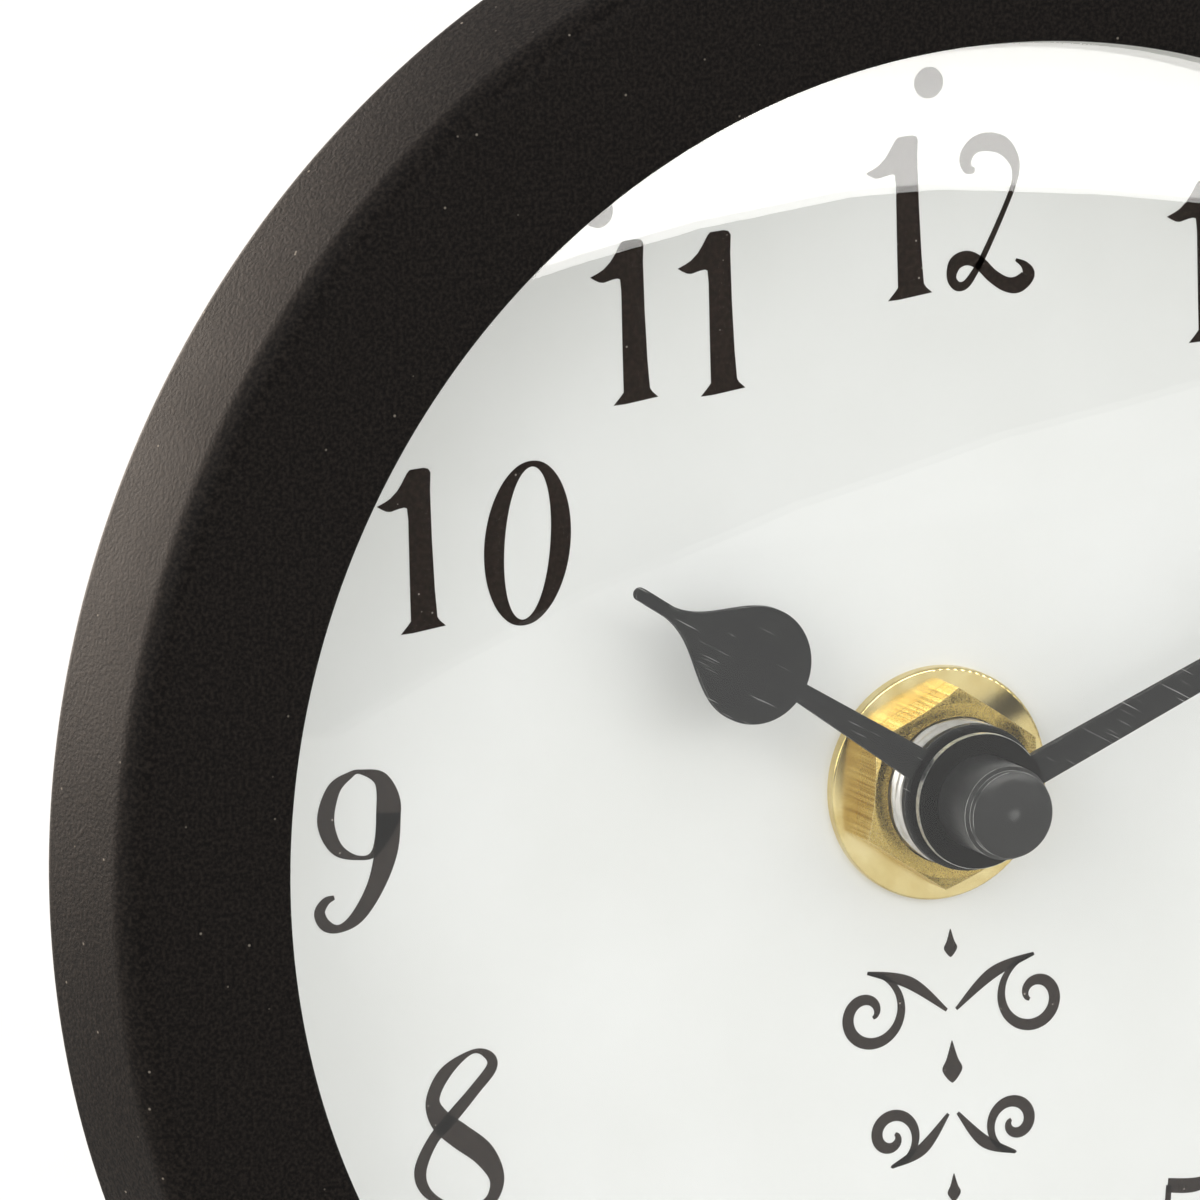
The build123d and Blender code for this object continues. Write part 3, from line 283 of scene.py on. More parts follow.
# Bright zinc plate: cool grey metal with faint clouds where the bath left it duller.
zinc, shader, place = new_finish("mild_steel_zinc_plated", 0.34, 1.0)
cloud = add(zinc, "TexNoise", {"Scale": per(ZINC_SPANGLE_MM), "Detail": 3.0}, {"Vector": place})
dulled = add(zinc, "MapRange", {"To Min": 0.26, "To Max": 0.42}, {"Value": cloud.outputs["Fac"]})
plate = ramp(zinc, cloud.outputs["Fac"], [(0.3, ZINC_DULL), (0.7, ZINC)])
feed(zinc, shader, Base_Color=plate, Roughness=dulled.outputs["Result"])
dress(zinc, "dial_seat", "neck_saddle", "neck_screw", "base_bolt", "clutch_spring", "clutch_collar")
dress(zinc, "stator", "coil_core", "quartz_crystal", "rotor_magnet")

# Dial: a disc of sheet aluminium, stove-enamelled white, with its numbers and dots screen printed.
# It lies on the seat in the bowl and is clamped by the movement's nut.
DIAL_WHITE = "#f7f7f8"
DIAL_SHADE = "#f1f1f1"
DIAL_SPECK = "#8f8c86"
DIAL_CLOUD_MM = 18.0
DIAL_SPECK_MM = 9.0
# White stove enamel: even and close to matt, with faint clouding and a speck of dust here and there.
enamel, shader, place = new_finish("white_enamel_stoved", 0.5, Specular_IOR_Level=0.3)
cloud = add(enamel, "TexNoise", {"Scale": per(DIAL_CLOUD_MM), "Detail": 3.0}, {"Vector": place})
body = ramp(enamel, cloud.outputs["Fac"], [(0.3, DIAL_SHADE), (0.7, DIAL_WHITE)])
dust = add(enamel, "TexVoronoi", {"Scale": per(DIAL_SPECK_MM)}, {"Vector": place})
caught = add(enamel, "MapRange", {"From Min": 0.012, "From Max": 0.008}, {"Value": dust.outputs["Distance"]})
speckled = add(
    enamel, "Mix", {"data_type": "RGBA", 7: linear(DIAL_SPECK)}, {0: caught.outputs["Result"], 6: body}
)
feed(enamel, shader, Base_Color=speckled.outputs[2])
dress(enamel, "dial")

# Numbers, hour dots and ornament: one pass of brown-black ink through a screen.
# The numbers are drawn with a broad pen: thick downstrokes, thin turns and small round ends.
INK_LIFT_MM = 0.02
INK_STEP_MM = 0.12
INK_BLACK = "#221a16"
INK_THIN = "#382d27"
INK_MOTTLE_MM = 0.35
INK_PINHOLE_MM = 1.1
INK_MISSED = "#a39b92"
# Screen ink: nearly black, dead matt, a little thin where the mesh of the screen let less through.
ink, shader, place = new_finish("black_ink_screen_printed", 0.6, Specular_IOR_Level=0.2)
mottle = add(ink, "TexNoise", {"Scale": per(INK_MOTTLE_MM), "Detail": 4.0}, {"Vector": place})
body = ramp(ink, mottle.outputs["Fac"], [(0.4, INK_BLACK), (0.85, INK_THIN)])
pinhole = add(ink, "TexVoronoi", {"Scale": per(INK_PINHOLE_MM)}, {"Vector": place})
missed = add(ink, "MapRange", {"From Min": 0.075, "From Max": 0.05}, {"Value": pinhole.outputs["Distance"]})
spotted = add(
    ink, "Mix", {"data_type": "RGBA", 7: linear(INK_MISSED)}, {0: missed.outputs["Result"], 6: body}
)
feed(ink, shader, Base_Color=spotted.outputs[2])


def smooth(points, closed):
    """Pen positions (x, y, half width) along a smooth line through the given ones."""
    count = len(points)
    line = []
    for i in range(count if closed else count - 1):
        near = (i - 1, i, i + 1, i + 2)
        ends = [points[k % count if closed else min(max(k, 0), count - 1)] for k in near]
        steps = max(2, ceil(hypot(ends[2][0] - ends[1][0], ends[2][1] - ends[1][1]) / INK_STEP_MM))
        before, start, end, after = (Vector(p) for p in ends)
        bend = 2 * before - 5 * start + 4 * end - after
        twist = 3 * start - before - 3 * end + after
        for step in range(steps):
            on = step / steps
            line.append(start + (on * (end - before) + on * on * bend + on * on * on * twist) / 2)
    return line if closed else line + [Vector(points[-1])]


def pen_stroke(points, closed, points_out, faces_out):
    """Adds the inked shape of one pen stroke to a mesh's points and faces."""
    line = smooth(points, closed)
    count = len(line)
    first = len(points_out)
    for i, (x, y, half) in enumerate(line):
        back = line[i - 1] if closed or i else line[0]
        on = line[(i + 1) % count] if closed or i < count - 1 else line[-1]
        run = hypot(on[0] - back[0], on[1] - back[1]) or 1.0
        across = (-(on[1] - back[1]) / run, (on[0] - back[0]) / run)
        for side in (half, -half):
            points_out.append((x + across[0] * side, y + across[1] * side))
    for i in range(count if closed else count - 1):
        left = first + 2 * i
        beyond = first + 2 * ((i + 1) % count)
        faces_out.append((left, left + 1, beyond + 1, beyond))


# The figures' pen strokes, in millimetres from each figure's lower left corner
TWO = [
    [
        (2.25, 8.2, 0.18), (1.72, 8.25, 0.35), (1.55, 9.0, 0.48), (2.08, 9.75, 0.55), (3.08, 10.0, 0.65),
        (4.25, 9.67, 0.62), (5.05, 8.75, 0.45), (5.25, 7.75, 0.28), (4.95, 6.58, 0.2), (3.92, 4.42, 0.2),
        (2.72, 2.17, 0.22), (2.08, 1.17, 0.25), (1.42, 0.42, 0.3), (0.78, 0.38, 0.33), (0.38, 1.0, 0.35),
        (0.67, 1.92, 0.5), (1.5, 2.22, 0.5), (2.42, 1.83, 0.45), (3.42, 0.83, 0.45), (4.42, 0.17, 0.5),
        (5.33, 0.08, 0.58), (6.08, 0.67, 0.5), (5.83, 1.33, 0.28), (5.17, 1.78, 0.1),
    ],
]
THREE = [
    [
        (0.6, 8.9, 0.2), (0.35, 9.6, 0.4), (1.2, 10.6, 0.5), (2.8, 10.9, 0.3), (4.4, 9.9, 0.7),
        (4.4, 8.2, 0.6), (3.2, 6.3, 0.25), (2.2, 5.9, 0.15),
    ],
    [
        (2.2, 5.9, 0.15), (4.0, 5.7, 0.4), (5.3, 4.0, 0.85), (4.8, 1.6, 0.75), (2.8, 0.2, 0.3),
        (1.0, 0.5, 0.4), (0.3, 1.6, 0.4), (0.8, 2.5, 0.25),
    ],
]
FOUR = [
    [(4.2, 11.0, 0.2), (2.2, 7.0, 0.2), (0.3, 3.2, 0.2)],
    [(0.2, 3.1, 0.28), (3.0, 3.1, 0.28), (6.4, 3.1, 0.28)],
    [(4.4, 0.0, 1.35), (4.4, 0.3, 1.0), (4.4, 0.8, 0.78), (4.4, 6.0, 0.75), (4.4, 11.0, 0.7)],
]
FIVE = [
    [(1.5, 10.8, 0.5), (3.5, 10.6, 0.5), (5.6, 11.0, 0.3)],
    [(1.6, 10.8, 0.22), (1.4, 8.5, 0.22), (1.2, 6.3, 0.22)],
    [
        (1.2, 6.2, 0.2), (2.8, 7.0, 0.3), (4.9, 5.9, 0.7), (5.4, 3.7, 0.9), (4.4, 1.2, 0.6),
        (2.4, 0.15, 0.25), (0.8, 0.6, 0.4), (0.2, 1.7, 0.4), (0.7, 2.6, 0.25),
    ],
]
SEVEN = [
    [(0.3, 9.0, 0.15), (0.6, 10.4, 0.45), (2.2, 10.3, 0.6), (4.0, 9.9, 0.5), (5.8, 10.9, 0.2)],
    [(5.8, 10.8, 0.15), (4.0, 6.5, 0.4), (2.6, 2.5, 0.75), (2.4, 0.0, 0.85)],
]
EIGHT = [
    [
        (4.35, 10.94, 0.15), (2.44, 9.76, 0.45), (1.47, 8.0, 0.5), (2.0, 6.53, 0.75), (3.32, 5.35, 0.85),
        (5.09, 3.88, 0.8), (6.03, 2.12, 0.55), (5.53, 0.65, 0.4), (3.91, 0.21, 0.2), (2.15, 0.79, 0.2),
        (0.82, 1.82, 0.35), (0.47, 3.29, 0.45), (1.41, 5.21, 0.4), (2.88, 6.68, 0.45), (4.5, 8.29, 0.4),
        (5.82, 9.76, 0.4), (5.53, 10.65, 0.3),
    ],
]
NINE = [
    [
        (3.53, 10.76, 0.16), (5.06, 10.0, 0.55), (5.5, 7.79, 0.9), (4.53, 5.29, 0.3), (3.29, 4.94, 0.15),
        (1.68, 5.74, 0.45), (0.94, 7.65, 0.62), (1.53, 9.71, 0.5), (2.71, 10.59, 0.25),
    ],
    [
        (5.5, 7.79, 0.9), (5.29, 5.29, 0.85), (4.47, 2.94, 0.65), (3.15, 1.03, 0.5), (1.82, 0.29, 0.28),
        (0.79, 0.59, 0.4), (0.35, 1.47, 0.4), (0.79, 2.21, 0.3), (1.44, 2.44, 0.15),
    ],
]
# The one is cut as an outline, with its flag to the left and a flared foot
ONE = [
    (0.15, 11.0), (1.14, 11.05), (1.48, 10.96), (1.66, 10.7), (1.6, 9.5), (1.66, 6.2), (1.8, 2.8),
    (1.95, 0.88), (2.12, 0.62), (2.55, 0.23), (0.15, -0.05), (-0.74, -0.08), (-0.25, 0.44), (0.02, 0.76),
    (0.0, 2.8), (-0.02, 7.6), (-0.1, 8.42), (-0.3, 8.5), (-0.64, 8.46), (-1.29, 8.3), (-1.6, 8.35),
    (-1.95, 8.53), (-2.28, 8.74), (-1.7, 8.98), (-1.29, 9.2), (-0.79, 9.65), (-0.45, 10.13), (-0.05, 10.8),
]
NUMBER_WIDE = 6.3
NUMBER_TALL = 11.0
SIX = [[(NUMBER_WIDE - x, NUMBER_TALL - y, half) for x, y, half in stroke] for stroke in NINE]
NOUGHT_WIDE = 2.42
NOUGHT_TALL = 5.35
NOUGHT_LEAN = 0.08
NOUGHT_POINTS = 16
NOUGHT_THIN = 0.2
NOUGHT_SWELL = 0.54
NOUGHT_TAPER = 1.5
NOUGHT = [[]]
for i in range(NOUGHT_POINTS):
    angle = 2 * pi * i / NOUGHT_POINTS
    up = NOUGHT_TALL * sin(angle)
    half = NOUGHT_THIN + NOUGHT_SWELL * abs(cos(angle)) ** NOUGHT_TAPER
    NOUGHT[0].append((NOUGHT_WIDE * cos(angle) + NOUGHT_LEAN * up, up, half))
CLOSED = [EIGHT[0], NINE[0], SIX[0], NOUGHT[0]]
# Where each figure's lower left corner stands, from the dial's middle
NUMBERS = [
    (ONE, -2.2, 33.3), (TWO, 1.42, 33.4),
    (ONE, 20.2, 28.3),
    (TWO, 31.2, 14.6),
    (THREE, 37.6, -5.4),
    (FOUR, 32.1, -25.8),
    (FIVE, 15.6, -40.8),
    (SIX, -2.6, -45.4),
    (SEVEN, -23.0, -40.2),
    (EIGHT, -38.9, -25.75),
    (NINE, -45.7, -5.6),
    (ONE, -38.3, 14.2), (NOUGHT, -29.7, 19.4),
    (ONE, -22.5, 28.15), (ONE, -16.1, 28.15),
]
HOURS = 12
DOT_RADIUS = 1.09
DOT_CIRCLE = 48.8
DOT_CENTRE = (0.3, -1.0)
DOT_POINTS = 24


def printed(name, outline_points, faces):
    """A flat print of ink on the dial."""
    points = [on_dial(x, y, INK_LIFT_MM) for x, y in outline_points]
    return mesh_piece(name, points, faces, ink, "case", crease=1.0)


points, faces = [], []
for figure, left, low in NUMBERS:
    if figure is ONE:
        faces.append(tuple(range(len(points), len(points) + len(ONE))))
        points += [(x + left, y + low) for x, y in ONE]
        continue
    for stroke in figure:
        moved = [(x + left, y + low, half) for x, y, half in stroke]
        pen_stroke(moved, stroke in CLOSED, points, faces)
printed("dial_numbers", points, faces)

points, faces = [], []
for hour in range(HOURS):
    toward = 2 * pi * hour / HOURS
    start = len(points)
    for i in range(DOT_POINTS):
        angle = 2 * pi * i / DOT_POINTS
        x = DOT_CENTRE[0] + DOT_CIRCLE * sin(toward) + DOT_RADIUS * cos(angle)
        points.append((x, DOT_CENTRE[1] + DOT_CIRCLE * cos(toward) + DOT_RADIUS * sin(angle)))
    faces.append(tuple(range(start, start + DOT_POINTS)))
printed("dial_dots", points, faces)

# Ornament below the middle: plain pen scrolls either side of a row of drops, as on many painted dials.
# It is printed with the numbers, in the same ink.
SCROLL_AT = (1.0, -17.0)
SCROLL_TURNS = 1.35
SCROLL_POINTS = 18
SCROLL_EYE = 0.14
SCROLL_BROAD_MM = 0.42
SCROLL_TAPER_MM = 0.3
SCROLL_TIP_MM = 0.12
# Each scroll's middle, its outer radius, and which way it curls
SCROLLS = [(6.2, 1.4, 2.9, 1), (4.6, -7.2, 2.1, -1)]
TAIL_SHARE = 0.5
TAIL_DIP_MM = 1.0
TAIL_END_MM = (0.35, 3.2)
# Each drop's height and half width, and its outline in shares of that half width
DROPS = [(5.4, 0.5), (-3.0, 0.75), (-11.6, 0.5)]
DROP_SHAPE = [(2.6, 0.0), (1.0, 0.55), (0.0, 1.0), (-0.9, 0.5), (-1.3, 0.0)]
DROP_TIP_MM = 0.03
points, faces = [], []
for side in (-1, 1):
    for centre_x, centre_y, outer, curl in SCROLLS:
        scroll = []
        for i in range(SCROLL_POINTS):
            out = i / (SCROLL_POINTS - 1)
            angle = curl * (2 * pi * SCROLL_TURNS * (1 - out) + pi / 2)
            reach = outer * (SCROLL_EYE + (1 - SCROLL_EYE) * out)
            half = SCROLL_BROAD_MM - SCROLL_TAPER_MM * abs(2 * out - 1) ** 2
            scroll.append((centre_x + reach * cos(angle), centre_y + reach * sin(angle), half))
        tail_x, tail_y, half = scroll[-1]
        scroll.append((tail_x * TAIL_SHARE, tail_y - curl * TAIL_DIP_MM, SCROLL_BROAD_MM))
        scroll.append((TAIL_END_MM[0], tail_y - curl * TAIL_END_MM[1], SCROLL_TIP_MM))
        moved = [(SCROLL_AT[0] + side * x, SCROLL_AT[1] + y, half) for x, y, half in scroll]
        pen_stroke(moved, False, points, faces)
for y, half in DROPS:
    drop = [(y + up * half, max(wide * half, DROP_TIP_MM)) for up, wide in DROP_SHAPE]
    pen_stroke([(SCROLL_AT[0], SCROLL_AT[1] + up, wide) for up, wide in drop], False, points, faces)
printed("dial_scroll", points, faces)

# Spacer ring: a white moulded polystyrene channel that holds the glass off the dial.
# It stands inside the bezel, and its wall shows as a pale line within the lip.
SPACER_WHITE = "#e9e7e3"
SPACER_SHADE = "#dad7d2"
SPACER_FLOW_MM = 6.0
# Moulded polystyrene: soft white, slightly shiny, with faint flow clouds.
polystyrene, shader, place = new_finish("white_polystyrene_moulded", 0.38, Subsurface_Weight=0.1)
shader.inputs["Subsurface Scale"].default_value = 1.0 * MM
flow = add(polystyrene, "TexNoise", {"Scale": per(SPACER_FLOW_MM), "Detail": 2.0}, {"Vector": place})
body = ramp(polystyrene, flow.outputs["Fac"], [(0.35, SPACER_SHADE), (0.65, SPACER_WHITE)])
feed(polystyrene, shader, Base_Color=body)
dress(polystyrene, "spacer_ring")

# Rubber rings: one between the glass and the bezel's lip, one between the movement and the dial.
# Punched from black sheet rubber.
RUBBER_BLACK = "#1b1a19"
RUBBER_BLOOM = "#2c2a29"
RUBBER_BLOOM_MM = 2.0
# Sheet rubber: black with a dusty grey bloom.
rubber, shader, place = new_finish("black_rubber_sheet", 0.8, Specular_IOR_Level=0.3)
bloom = add(rubber, "TexNoise", {"Scale": per(RUBBER_BLOOM_MM), "Detail": 4.0}, {"Vector": place})
body = ramp(rubber, bloom.outputs["Fac"], [(0.4, RUBBER_BLACK), (0.8, RUBBER_BLOOM)])
feed(rubber, shader, Base_Color=body)
dress(rubber, "glass_gasket", "stem_gasket")

# Glass: a shallow pressed dome of clear soda-lime glass with a flat ground rim under the lip.
# The spacer ring presses it against the gasket behind the bezel.
GLASS_THICK_MM = 2.0
GLASS_FLANGE_MM = 4.0
GLASS_STEPS = 256
GLASS_ARC_STEPS = 40
GLASS_SMEAR_MM = 30.0
GLASS_POLE_MM = 0.01
GLASS_INDEX = 1.38
GLASS_TINT = "#fcfdfc"
GLASS_PASSED = "#fafbfa"
glass_low, glass_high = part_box("glass")
glass_radius = glass_high.x / MM
glass_rim = glass_radius - GLASS_FLANGE_MM
glass_back = (middle.y - glass_high.y) / MM
glass_face = glass_back + GLASS_THICK_MM
glass_rise = (middle.y - glass_low.y) / MM - glass_face
sphere = (glass_rim**2 + glass_rise**2) / (2 * glass_rise)


def dome(base):
    """The dome's section above a level, from its rim in to its middle."""
    section = []
    for i in range(GLASS_ARC_STEPS + 1):
        r = max(glass_rim * (1 - i / GLASS_ARC_STEPS), GLASS_POLE_MM)
        section.append((r, base + sqrt(sphere**2 - r**2) - sphere + glass_rise))
    return section


# Pressed clear glass: mirrors its surroundings faintly from both faces and lets light straight through.
# Its index stands for glass with a thin coat against glare, which mirrors about half as much as bare glass.
clear_glass, shader, place = new_finish("clear_glass_coated", 0.0, IOR=GLASS_INDEX, Transmission_Weight=1.0)
shader.inputs["Base Color"].default_value = linear(GLASS_TINT)
smear = add(clear_glass, "TexNoise", {"Scale": per(GLASS_SMEAR_MM), "Detail": 2.0}, {"Vector": place})
relief = add(clear_glass, "Bump", {"Strength": 0.02, "Distance": 0.2 * MM}, {"Height": smear.outputs["Fac"]})
feed(clear_glass, shader, Normal=relief.outputs["Normal"])
path = add(clear_glass, "LightPath")
unbent = add(
    clear_glass, "Math", {"operation": "MAXIMUM"},
    {0: path.outputs["Is Shadow Ray"], 1: path.outputs["Is Diffuse Ray"]},
)
through = add(clear_glass, "BsdfTransparent", {"Color": linear(GLASS_PASSED)})
pane = add(
    clear_glass, "MixShader",
    links={0: unbent.outputs[0], 1: shader.outputs["BSDF"], 2: through.outputs["BSDF"]},
)
output = clear_glass.node_tree.nodes["Material Output"]
clear_glass.node_tree.links.new(pane.outputs[0], output.inputs["Surface"])
glass_section = dome(glass_face)[::-1]
glass_section += [(glass_radius, glass_face), (glass_radius, glass_back)]
glass_section += dome(glass_back)
glass = turned("domed_glass", glass_section, about_dial, GLASS_STEPS, clear_glass, "case")
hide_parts("glass")

# Brass washer, hexagon nut and minute arbor: turned from bar and polished.
# Washer and nut clamp the dial on the movement's stem.
BRASS_PALE = "#ecdaa2"
BRASS_DEEP = "#d8c07c"
BRASS_DARK = "#b7994f"
BRASS_RING_MM = 1.131
BRASS_TARNISH_MM = 2.5


def waves(length_mm):
    """A wave texture's scale, from the length of one wave. The texture runs 20 radians in a unit."""
    return 2 * pi * per(length_mm) / 20


# Polished brass: warm pale yellow mirror with rings left by the lathe and faint tarnish.
# The rings are drawn about a millimetre apart, coarser than a tool leaves them.
brass, shader, place = new_finish("brass_turned_polished", 0.2, 1.0)
centred = add(brass, "Mapping", {"Location": (0.0, 0.0, -middle.z)}, {"Vector": place})
rings = add(
    brass, "TexWave",
    {
        "wave_type": "RINGS", "rings_direction": "Y",
        "Scale": waves(BRASS_RING_MM), "Distortion": 0.6, "Detail": 2.0,
    },
    {"Vector": centred.outputs["Vector"]},
)
tarnish = add(brass, "TexNoise", {"Scale": per(BRASS_TARNISH_MM), "Detail": 4.0}, {"Vector": place})
relief = add(brass, "Bump", {"Strength": 0.12, "Distance": 0.01 * MM}, {"Height": rings.outputs["Fac"]})
dulled = add(brass, "MapRange", {"To Min": 0.13, "To Max": 0.24}, {"Value": tarnish.outputs["Fac"]})
metal = ramp(brass, tarnish.outputs["Fac"], [(0.3, BRASS_DEEP), (0.65, BRASS_PALE)])
feed(brass, shader, Base_Color=metal, Roughness=dulled.outputs["Result"], Normal=relief.outputs["Normal"])
dress(brass, "dial_washer", "minute_arbor")

FACED_PALE = "#c8af68"
FACED_DEEP = "#ab924f"
FACED_GRAIN_MM = 0.12
DRAWN_STREAK_MM = 0.14
DRAWN_LENGTH_MM = 12.0
NUT_EDGE_MM = 0.18
# Drawn and faced brass: bright flats streaked along by the drawing die, and dull brown grained faces.
nut_brass, shader, place = new_finish("brass_drawn_and_faced", 0.3, 1.0)
grain = add(nut_brass, "TexNoise", {"Scale": per(FACED_GRAIN_MM), "Detail": 4.0}, {"Vector": place})
faced = ramp(nut_brass, grain.outputs["Fac"], [(0.35, FACED_DEEP), (0.65, FACED_PALE)])
along = add(
    nut_brass, "Mapping", {"Scale": (per(DRAWN_STREAK_MM), per(DRAWN_LENGTH_MM), per(DRAWN_STREAK_MM))},
    {"Vector": place},
)
streak = add(nut_brass, "TexNoise", {"Scale": 1.0, "Detail": 2.0}, {"Vector": along.outputs["Vector"]})
drawn = ramp(nut_brass, streak.outputs["Fac"], [(0.38, BRASS_DARK), (0.5, BRASS_DEEP), (0.62, BRASS_PALE)])
facing = add(nut_brass, "NewGeometry").outputs["True Normal"]
ahead = add(nut_brass, "SeparateXYZ", links={"Vector": facing}).outputs["Y"]
on_face = add(nut_brass, "Math", {"operation": "ABSOLUTE"}, {0: ahead})
chosen = add(nut_brass, "MapRange", {"From Min": 0.7, "From Max": 0.9}, {"Value": on_face.outputs[0]})
metal = add(nut_brass, "Mix", {"data_type": "RGBA"}, {0: chosen.outputs["Result"], 6: drawn, 7: faced})
dulled = add(nut_brass, "MapRange", {"To Min": 0.2, "To Max": 0.36}, {"Value": grain.outputs["Fac"]})
relief = add(nut_brass, "Bump", {"Strength": 0.25, "Distance": 0.02 * MM}, {"Height": grain.outputs["Fac"]})
feed(
    nut_brass, shader,
    Base_Color=metal.outputs[2], Roughness=dulled.outputs["Result"], Normal=relief.outputs["Normal"],
)
dress(nut_brass, "dial_nut")


WELD_MM = 0.001
EDGE_SEGMENTS = 2
EDGE_ANGLE = 40.0


def round_edges(name, width_mm, finish):
    """Breaks the sharp edges of a CAD node by a small bevel with a finish of its own."""
    node = frame["nodes"][name]
    weld = node.modifiers.new("weld", "WELD")
    weld.merge_threshold = WELD_MM * MM
    bevel = node.modifiers.new("edges", "BEVEL")
    bevel.width = width_mm * MM
    bevel.segments = EDGE_SEGMENTS
    bevel.limit_method = "ANGLE"
    bevel.angle_limit = radians(EDGE_ANGLE)
    bevel.harden_normals = True
    node.data.materials.append(finish)
    bevel.material = 1


round_edges("dial_nut", NUT_EDGE_MM, brass)

# Threaded stem: brass tube with a fine thread outside, nickel plated, pressed into the movement's wall.
# The hands' arbors come out through its bore.
THREAD_PITCH_MM = 0.75
THREAD_DEPTH_MM = 0.32
THREAD_STEPS = 96
THREAD_STEP_MM = 0.09
THREAD_CREASE = 60.0
STEM_RADIUS_MM = 5.0
STEM_BORE_MM = 2.56
STEM_FLANGE_MM = 0.8
NICKEL = "#e6e3df"
NICKEL_DULL = "#c9c6c1"
NICKEL_CLOUD_MM = 1.2
# Nickel plate: warm white metal, bright, with soft patches.
nickel, shader, place = new_finish("brass_nickel_plated", 0.22, 1.0)
cloud = add(nickel, "TexNoise", {"Scale": per(NICKEL_CLOUD_MM), "Detail": 3.0}, {"Vector": place})
dulled = add(nickel, "MapRange", {"To Min": 0.24, "To Max": 0.4}, {"Value": cloud.outputs["Fac"]})
plate = ramp(nickel, cloud.outputs["Fac"], [(0.3, NICKEL_DULL), (0.7, NICKEL)])
feed(nickel, shader, Base_Color=plate, Roughness=dulled.outputs["Result"])
dress(nickel, "contact_plus", "contact_minus")


def wound(name, top, depth, bore, pitch, back, front, step, about, finish, body):
    """A tube whose outside rises and falls along a helix, as a thread or one layer of wire does."""
    rows = ceil((front - back) / step)
    outside = [(None, back + (front - back) * i / rows) for i in range(rows + 1)]
    rings = [(bore, back), *outside, (bore, front)]
    points = []
    for radius, along in rings:
        for s in range(THREAD_STEPS):
            turn = s / THREAD_STEPS
            wave = abs(2 * ((along / pitch + turn) % 1.0) - 1)
            points.append(about(radius or top - depth * wave, 2 * pi * turn, along))
    firsts = [ring * THREAD_STEPS for ring in range(len(rings))]
    faces = [
        (low + s, high + s, high + (s + 1) % THREAD_STEPS, low + (s + 1) % THREAD_STEPS)
        for low, high in zip(firsts, firsts[1:] + firsts[:1])
        for s in range(THREAD_STEPS)
    ]
    return mesh_piece(name, points, faces, finish, body, THREAD_CREASE)


stem_low, stem_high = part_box("stem_bush")
stem_back = (middle.y - stem_high.y) / MM
stem_front = (middle.y - stem_low.y) / MM
flange_radius = stem_high.x / MM
stem = wound(
    "threaded_stem", STEM_RADIUS_MM, THREAD_DEPTH_MM, STEM_BORE_MM, THREAD_PITCH_MM,
    stem_back, stem_front, THREAD_STEP_MM, about_dial, nickel, "case",
)
flange_front = (middle.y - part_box("movement_case")[0].y) / MM
flange_section = [
    (STEM_RADIUS_MM - THREAD_DEPTH_MM, flange_front - STEM_FLANGE_MM),
    (flange_radius, flange_front - STEM_FLANGE_MM),
    (flange_radius, flange_front),
    (STEM_RADIUS_MM - THREAD_DEPTH_MM, flange_front),
]
flange = turned("stem_flange", flange_section, about_dial, THREAD_STEPS, nickel, "case")
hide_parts("stem_bush")

# Hands and cap: spade hands pressed from sheet aluminium and a turned cap nut, lacquered matt black.
# The hour hand is pushed on its pipe, and the cap clamps the minute hand on its arbor.
LACQUER_BLACK = "#29292a"
LACQUER_RUBBED = "#2e2e2e"
# Painted shade on the hubs: a deeper black than the lacquer, within the hub radius
HUB_PAINTED_SHADE = "#050505"
HUB_RADIUS_MM = 4.6
HUB_FADE_MM = 0.3
LACQUER_SCRATCH = "#a5a5a3"
LACQUER_CLOUD_MM = 1.5
SCRATCH_LENGTH_MM = 4.0
SCRATCH_WIDE_MM = 0.12
SCRATCH_TURN = 30.0
# Matt black lacquer: dull charcoal, rubbed lighter in places, with a few hairline scratches to bare metal.
# The hubs are darkened to a deeper black as painted shade.
lacquer, shader, place = new_finish("black_lacquer_matt", 0.5, Specular_IOR_Level=0.06)
cloud = add(lacquer, "TexNoise", {"Scale": per(LACQUER_CLOUD_MM), "Detail": 5.0}, {"Vector": place})
body = ramp(lacquer, cloud.outputs["Fac"], [(0.4, LACQUER_BLACK), (0.75, LACQUER_RUBBED)])
leaning = add(
    lacquer, "Mapping",
    {
        "vector_type": "TEXTURE", "Rotation": (0.0, radians(SCRATCH_TURN), 0.0),
        "Scale": (SCRATCH_LENGTH_MM * MM, 1.0, SCRATCH_WIDE_MM * MM),
    },
    {"Vector": place},
)
hair = add(lacquer, "TexNoise", {"Scale": 1.0, "Detail": 1.0}, {"Vector": leaning.outputs["Vector"]})
scratch = add(lacquer, "MapRange", {"From Min": 0.69, "From Max": 0.74}, {"Value": hair.outputs["Fac"]})
worn = add(
    lacquer, "Mix", {"data_type": "RGBA", 7: linear(LACQUER_SCRATCH)},
    {0: scratch.outputs["Result"], 6: body},
)
flat = add(lacquer, "VectorMath", {"operation": "MULTIPLY", 1: (1.0, 0.0, 1.0)}, {0: place})
away = add(
    lacquer, "VectorMath", {"operation": "DISTANCE", 1: (middle.x, 0.0, middle.z)}, {0: flat.outputs[0]}
)
# Painted shade: the lacquer within the hub radius fades to a deeper black
in_hub_shade = add(
    lacquer, "MapRange",
    {"From Min": (HUB_RADIUS_MM + HUB_FADE_MM) * MM, "From Max": HUB_RADIUS_MM * MM},
    {"Value": away.outputs["Value"]},
)
hub_shaded = add(
    lacquer, "Mix", {"data_type": "RGBA", 7: linear(HUB_PAINTED_SHADE)},
    {0: in_hub_shade.outputs["Result"], 6: worn.outputs[2]},
)
sheen = add(lacquer, "MapRange", {"To Min": 0.42, "To Max": 0.58}, {"Value": cloud.outputs["Fac"]})
feed(lacquer, shader, Base_Color=hub_shaded.outputs[2], Roughness=sheen.outputs["Result"])
dress(lacquer, "hour_hand", "minute_hand")

BARE_EDGE_MM = 0.09
BARE_ALUMINIUM = "#d3d3d0"
BARE_PATCH_MM = 1.6
